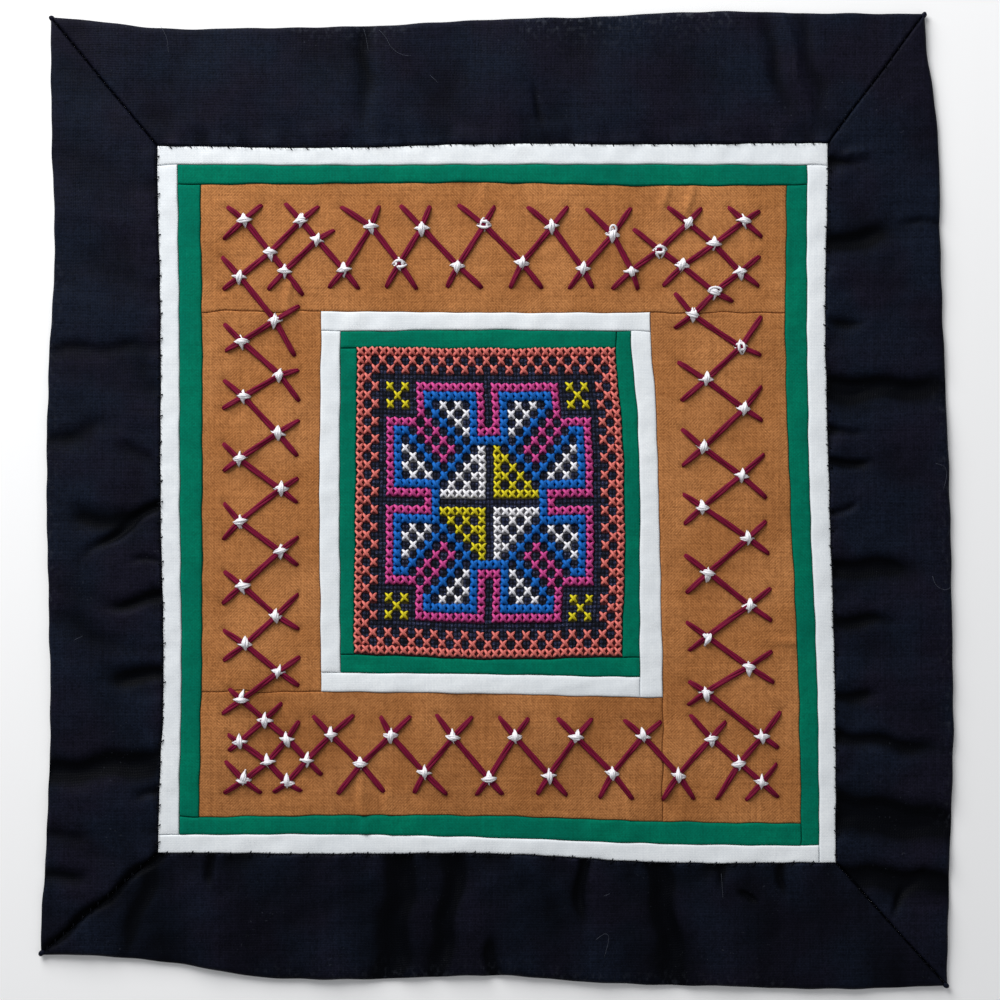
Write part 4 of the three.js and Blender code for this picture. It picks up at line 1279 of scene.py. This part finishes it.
def ground_material(look, groups):
    """The navy ground of the centre, coarsely woven: single threads with painted highlights on their crowns
    and painted shade in their hollows.
    """
    material, nodes, shader = blank_material("navy_ground", look["shine"])
    grain = nodes.map("grain")
    pitch = 1 / (CELLS * THREADS_PER_CELL)
    weave = nodes.group(groups["weave"], Vector=grain, Pitch_U=pitch, Pitch_V=pitch, Waver=0.0, Hatch=0.0)
    fibre = nodes.noise(grain, 260.0, detail=3.0)
    # Painted highlight and shade: crowns are coloured towards the light, more at some crossings than at
    # others, with painted glints on some fibres; the hollows are painted dark.
    lit = nodes.ranged(weave["Speck"], 0.0, 1.0, 0.1, 1.1)
    crown = nodes.times(nodes.math("POWER", weave["Height"], 2.0), lit)
    colour = nodes.coloured(crown, linear(look["dark"]), linear(look["light"]))
    glint = nodes.times(nodes.ranged(fibre, 0.55, 0.65), crown)
    colour = nodes.coloured(glint, colour, linear(look["glint"]))
    # Partly painted shade: the stitches' fibres over the ground of their cells, in a shaded copy of their
    # colour.
    fibre_shade = nodes.attribute("fibre_shade")
    fibre_shaded = nodes.times(fibre_shade["Alpha"], nodes.ranged(fibre, 0.35, 0.6, 0.3, 0.9))
    nodes.put(nodes.coloured(fibre_shaded, colour, fibre_shade["Color"]), shader["Base Color"])
    nodes.put(nodes.ranged(fibre, 0.3, 0.7, 0.8, 0.95), shader["Roughness"])
    bumped(nodes, fibre, look["relief"], shader)
    return material


def thread_material(name, look, groups):
    """A twisted thread: lit crowns, painted shade in the grooves between its plies, and fine fibres."""
    material, nodes, shader = blank_material(name, look["shine"])
    twist = nodes.group(
        groups["ply"], Vector=nodes.map("strand"), Twist=look["twist"] * MM, Plies=float(look["plies"]),
    )
    # Painted shade: the grooves between the plies lean towards the dark, the crowns towards the light.
    share = nodes.times(twist["Fibre"], 0.45, plus=nodes.times(twist["Height"], 0.55))
    nodes.put(nodes.coloured(share, linear(look["dark"]), linear(look["light"])), shader["Base Color"])
    nodes.put(nodes.ranged(twist["Fibre"], 0.0, 1.0, 0.55, 0.8), shader["Roughness"])
    bumped(nodes, nodes.times(twist["Fibre"], 0.3, plus=twist["Height"]), THREAD_RELIEF, shader)
    return material


def all_materials():
    groups = {"weave": plain_weave_group(), "slubs": slub_group(), "fluff": fluff_group(), "ply": ply_group()}
    made = {name: cloth_material(name, look, groups) for name, look in CLOTH_FINISHES.items()}
    made.update({name: thread_material(name, look, groups) for name, look in THREAD_FINISHES.items()})
    made["navy_ground"] = ground_material(GROUND_FINISH, groups)
    return made


# Camera, light and floor

def camera():
    data = bpy.data.cameras.new("camera")
    data.sensor_width = SENSOR_WIDTH
    data.lens = SENSOR_WIDTH * CAMERA_HEIGHT / PICTURE_WIDTH
    data.clip_start = 0.01
    eye = bpy.data.objects.new("camera", data)
    eye.location = Vector((*PICTURE_CENTRE, CAMERA_HEIGHT + CLOTHS["tan"]["crown"])) * MM
    bpy.context.scene.collection.objects.link(eye)
    bpy.context.scene.camera = eye


def area_light(name, place, size, power):
    """A soft light that faces the panel."""
    data = bpy.data.lights.new(name, "AREA")
    data.shape = "SQUARE"
    data.size = size
    data.energy = power
    light = bpy.data.objects.new(name, data)
    light.location = place
    light.rotation_euler = (-Vector(place)).to_track_quat("-Z", "Y").to_euler()
    bpy.context.scene.collection.objects.link(light)


def studio():
    """A pale floor, one soft key from the upper left, a weaker fill, and an even sky."""
    bpy.ops.object.select_all(action="DESELECT")
    bpy.ops.mesh.primitive_plane_add(size=6, location=(0, 0, -0.0001))
    floor = bpy.context.active_object
    floor.name = "floor"
    material = bpy.data.materials.new("pale_floor")
    material.use_nodes = True
    nodes = Nodes(material.node_tree)
    shader = material.node_tree.nodes["Principled BSDF"].inputs
    place = nodes.add("ShaderNodeTexCoord").outputs["Object"]
    colour = nodes.coloured(nodes.noise(place, 4.0), linear(0xf2f2f2), linear(0xf6f6f6))
    nodes.put(colour, shader["Base Color"])
    shader["Roughness"].default_value = 0.9
    floor.data.materials.append(material)
    for name, light in LIGHTS.items():
        area_light(name, **light)
    world = bpy.data.worlds.new("sky")
    world.use_nodes = True
    sky = world.node_tree.nodes["Background"].inputs
    sky["Color"].default_value = linear(0xf4f6fa)
    sky["Strength"].default_value = SKY_STRENGTH
    bpy.context.scene.world = world
    bpy.context.scene.view_settings.view_transform = "Standard"


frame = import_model()
MATERIALS = all_materials()
camera()
studio()

for strip in STRIPS:
    ring = pieced(LINES[strip["outer"]], LINES[strip["inner"]], strip["up"])
    for strip_side, footprint in ring.items():
        cloth_sheet(f"{strip['cloth']}_{strip_side}", strip["cloth"], footprint, strip_side)

for border_side, footprint in mitred(LINES["edge"], LINES["border_white"]).items():
    seams = ("left", "right") if border_side in LEVEL else LEVEL
    edge_rolls = {seams[0]: MITRE_ROLL, seams[1]: MITRE_ROLL, border_side: HEM_ROLL}
    cloth_sheet(f"border_{border_side}", "border", footprint, border_side, edge_rolls)

cloth_sheet("centre_panel", "centre", LINES["inner_centre"], "top")
laid_threads()
white_ties()
cross_stitches()
whip_stitches()
mitre_stitches()
lint()
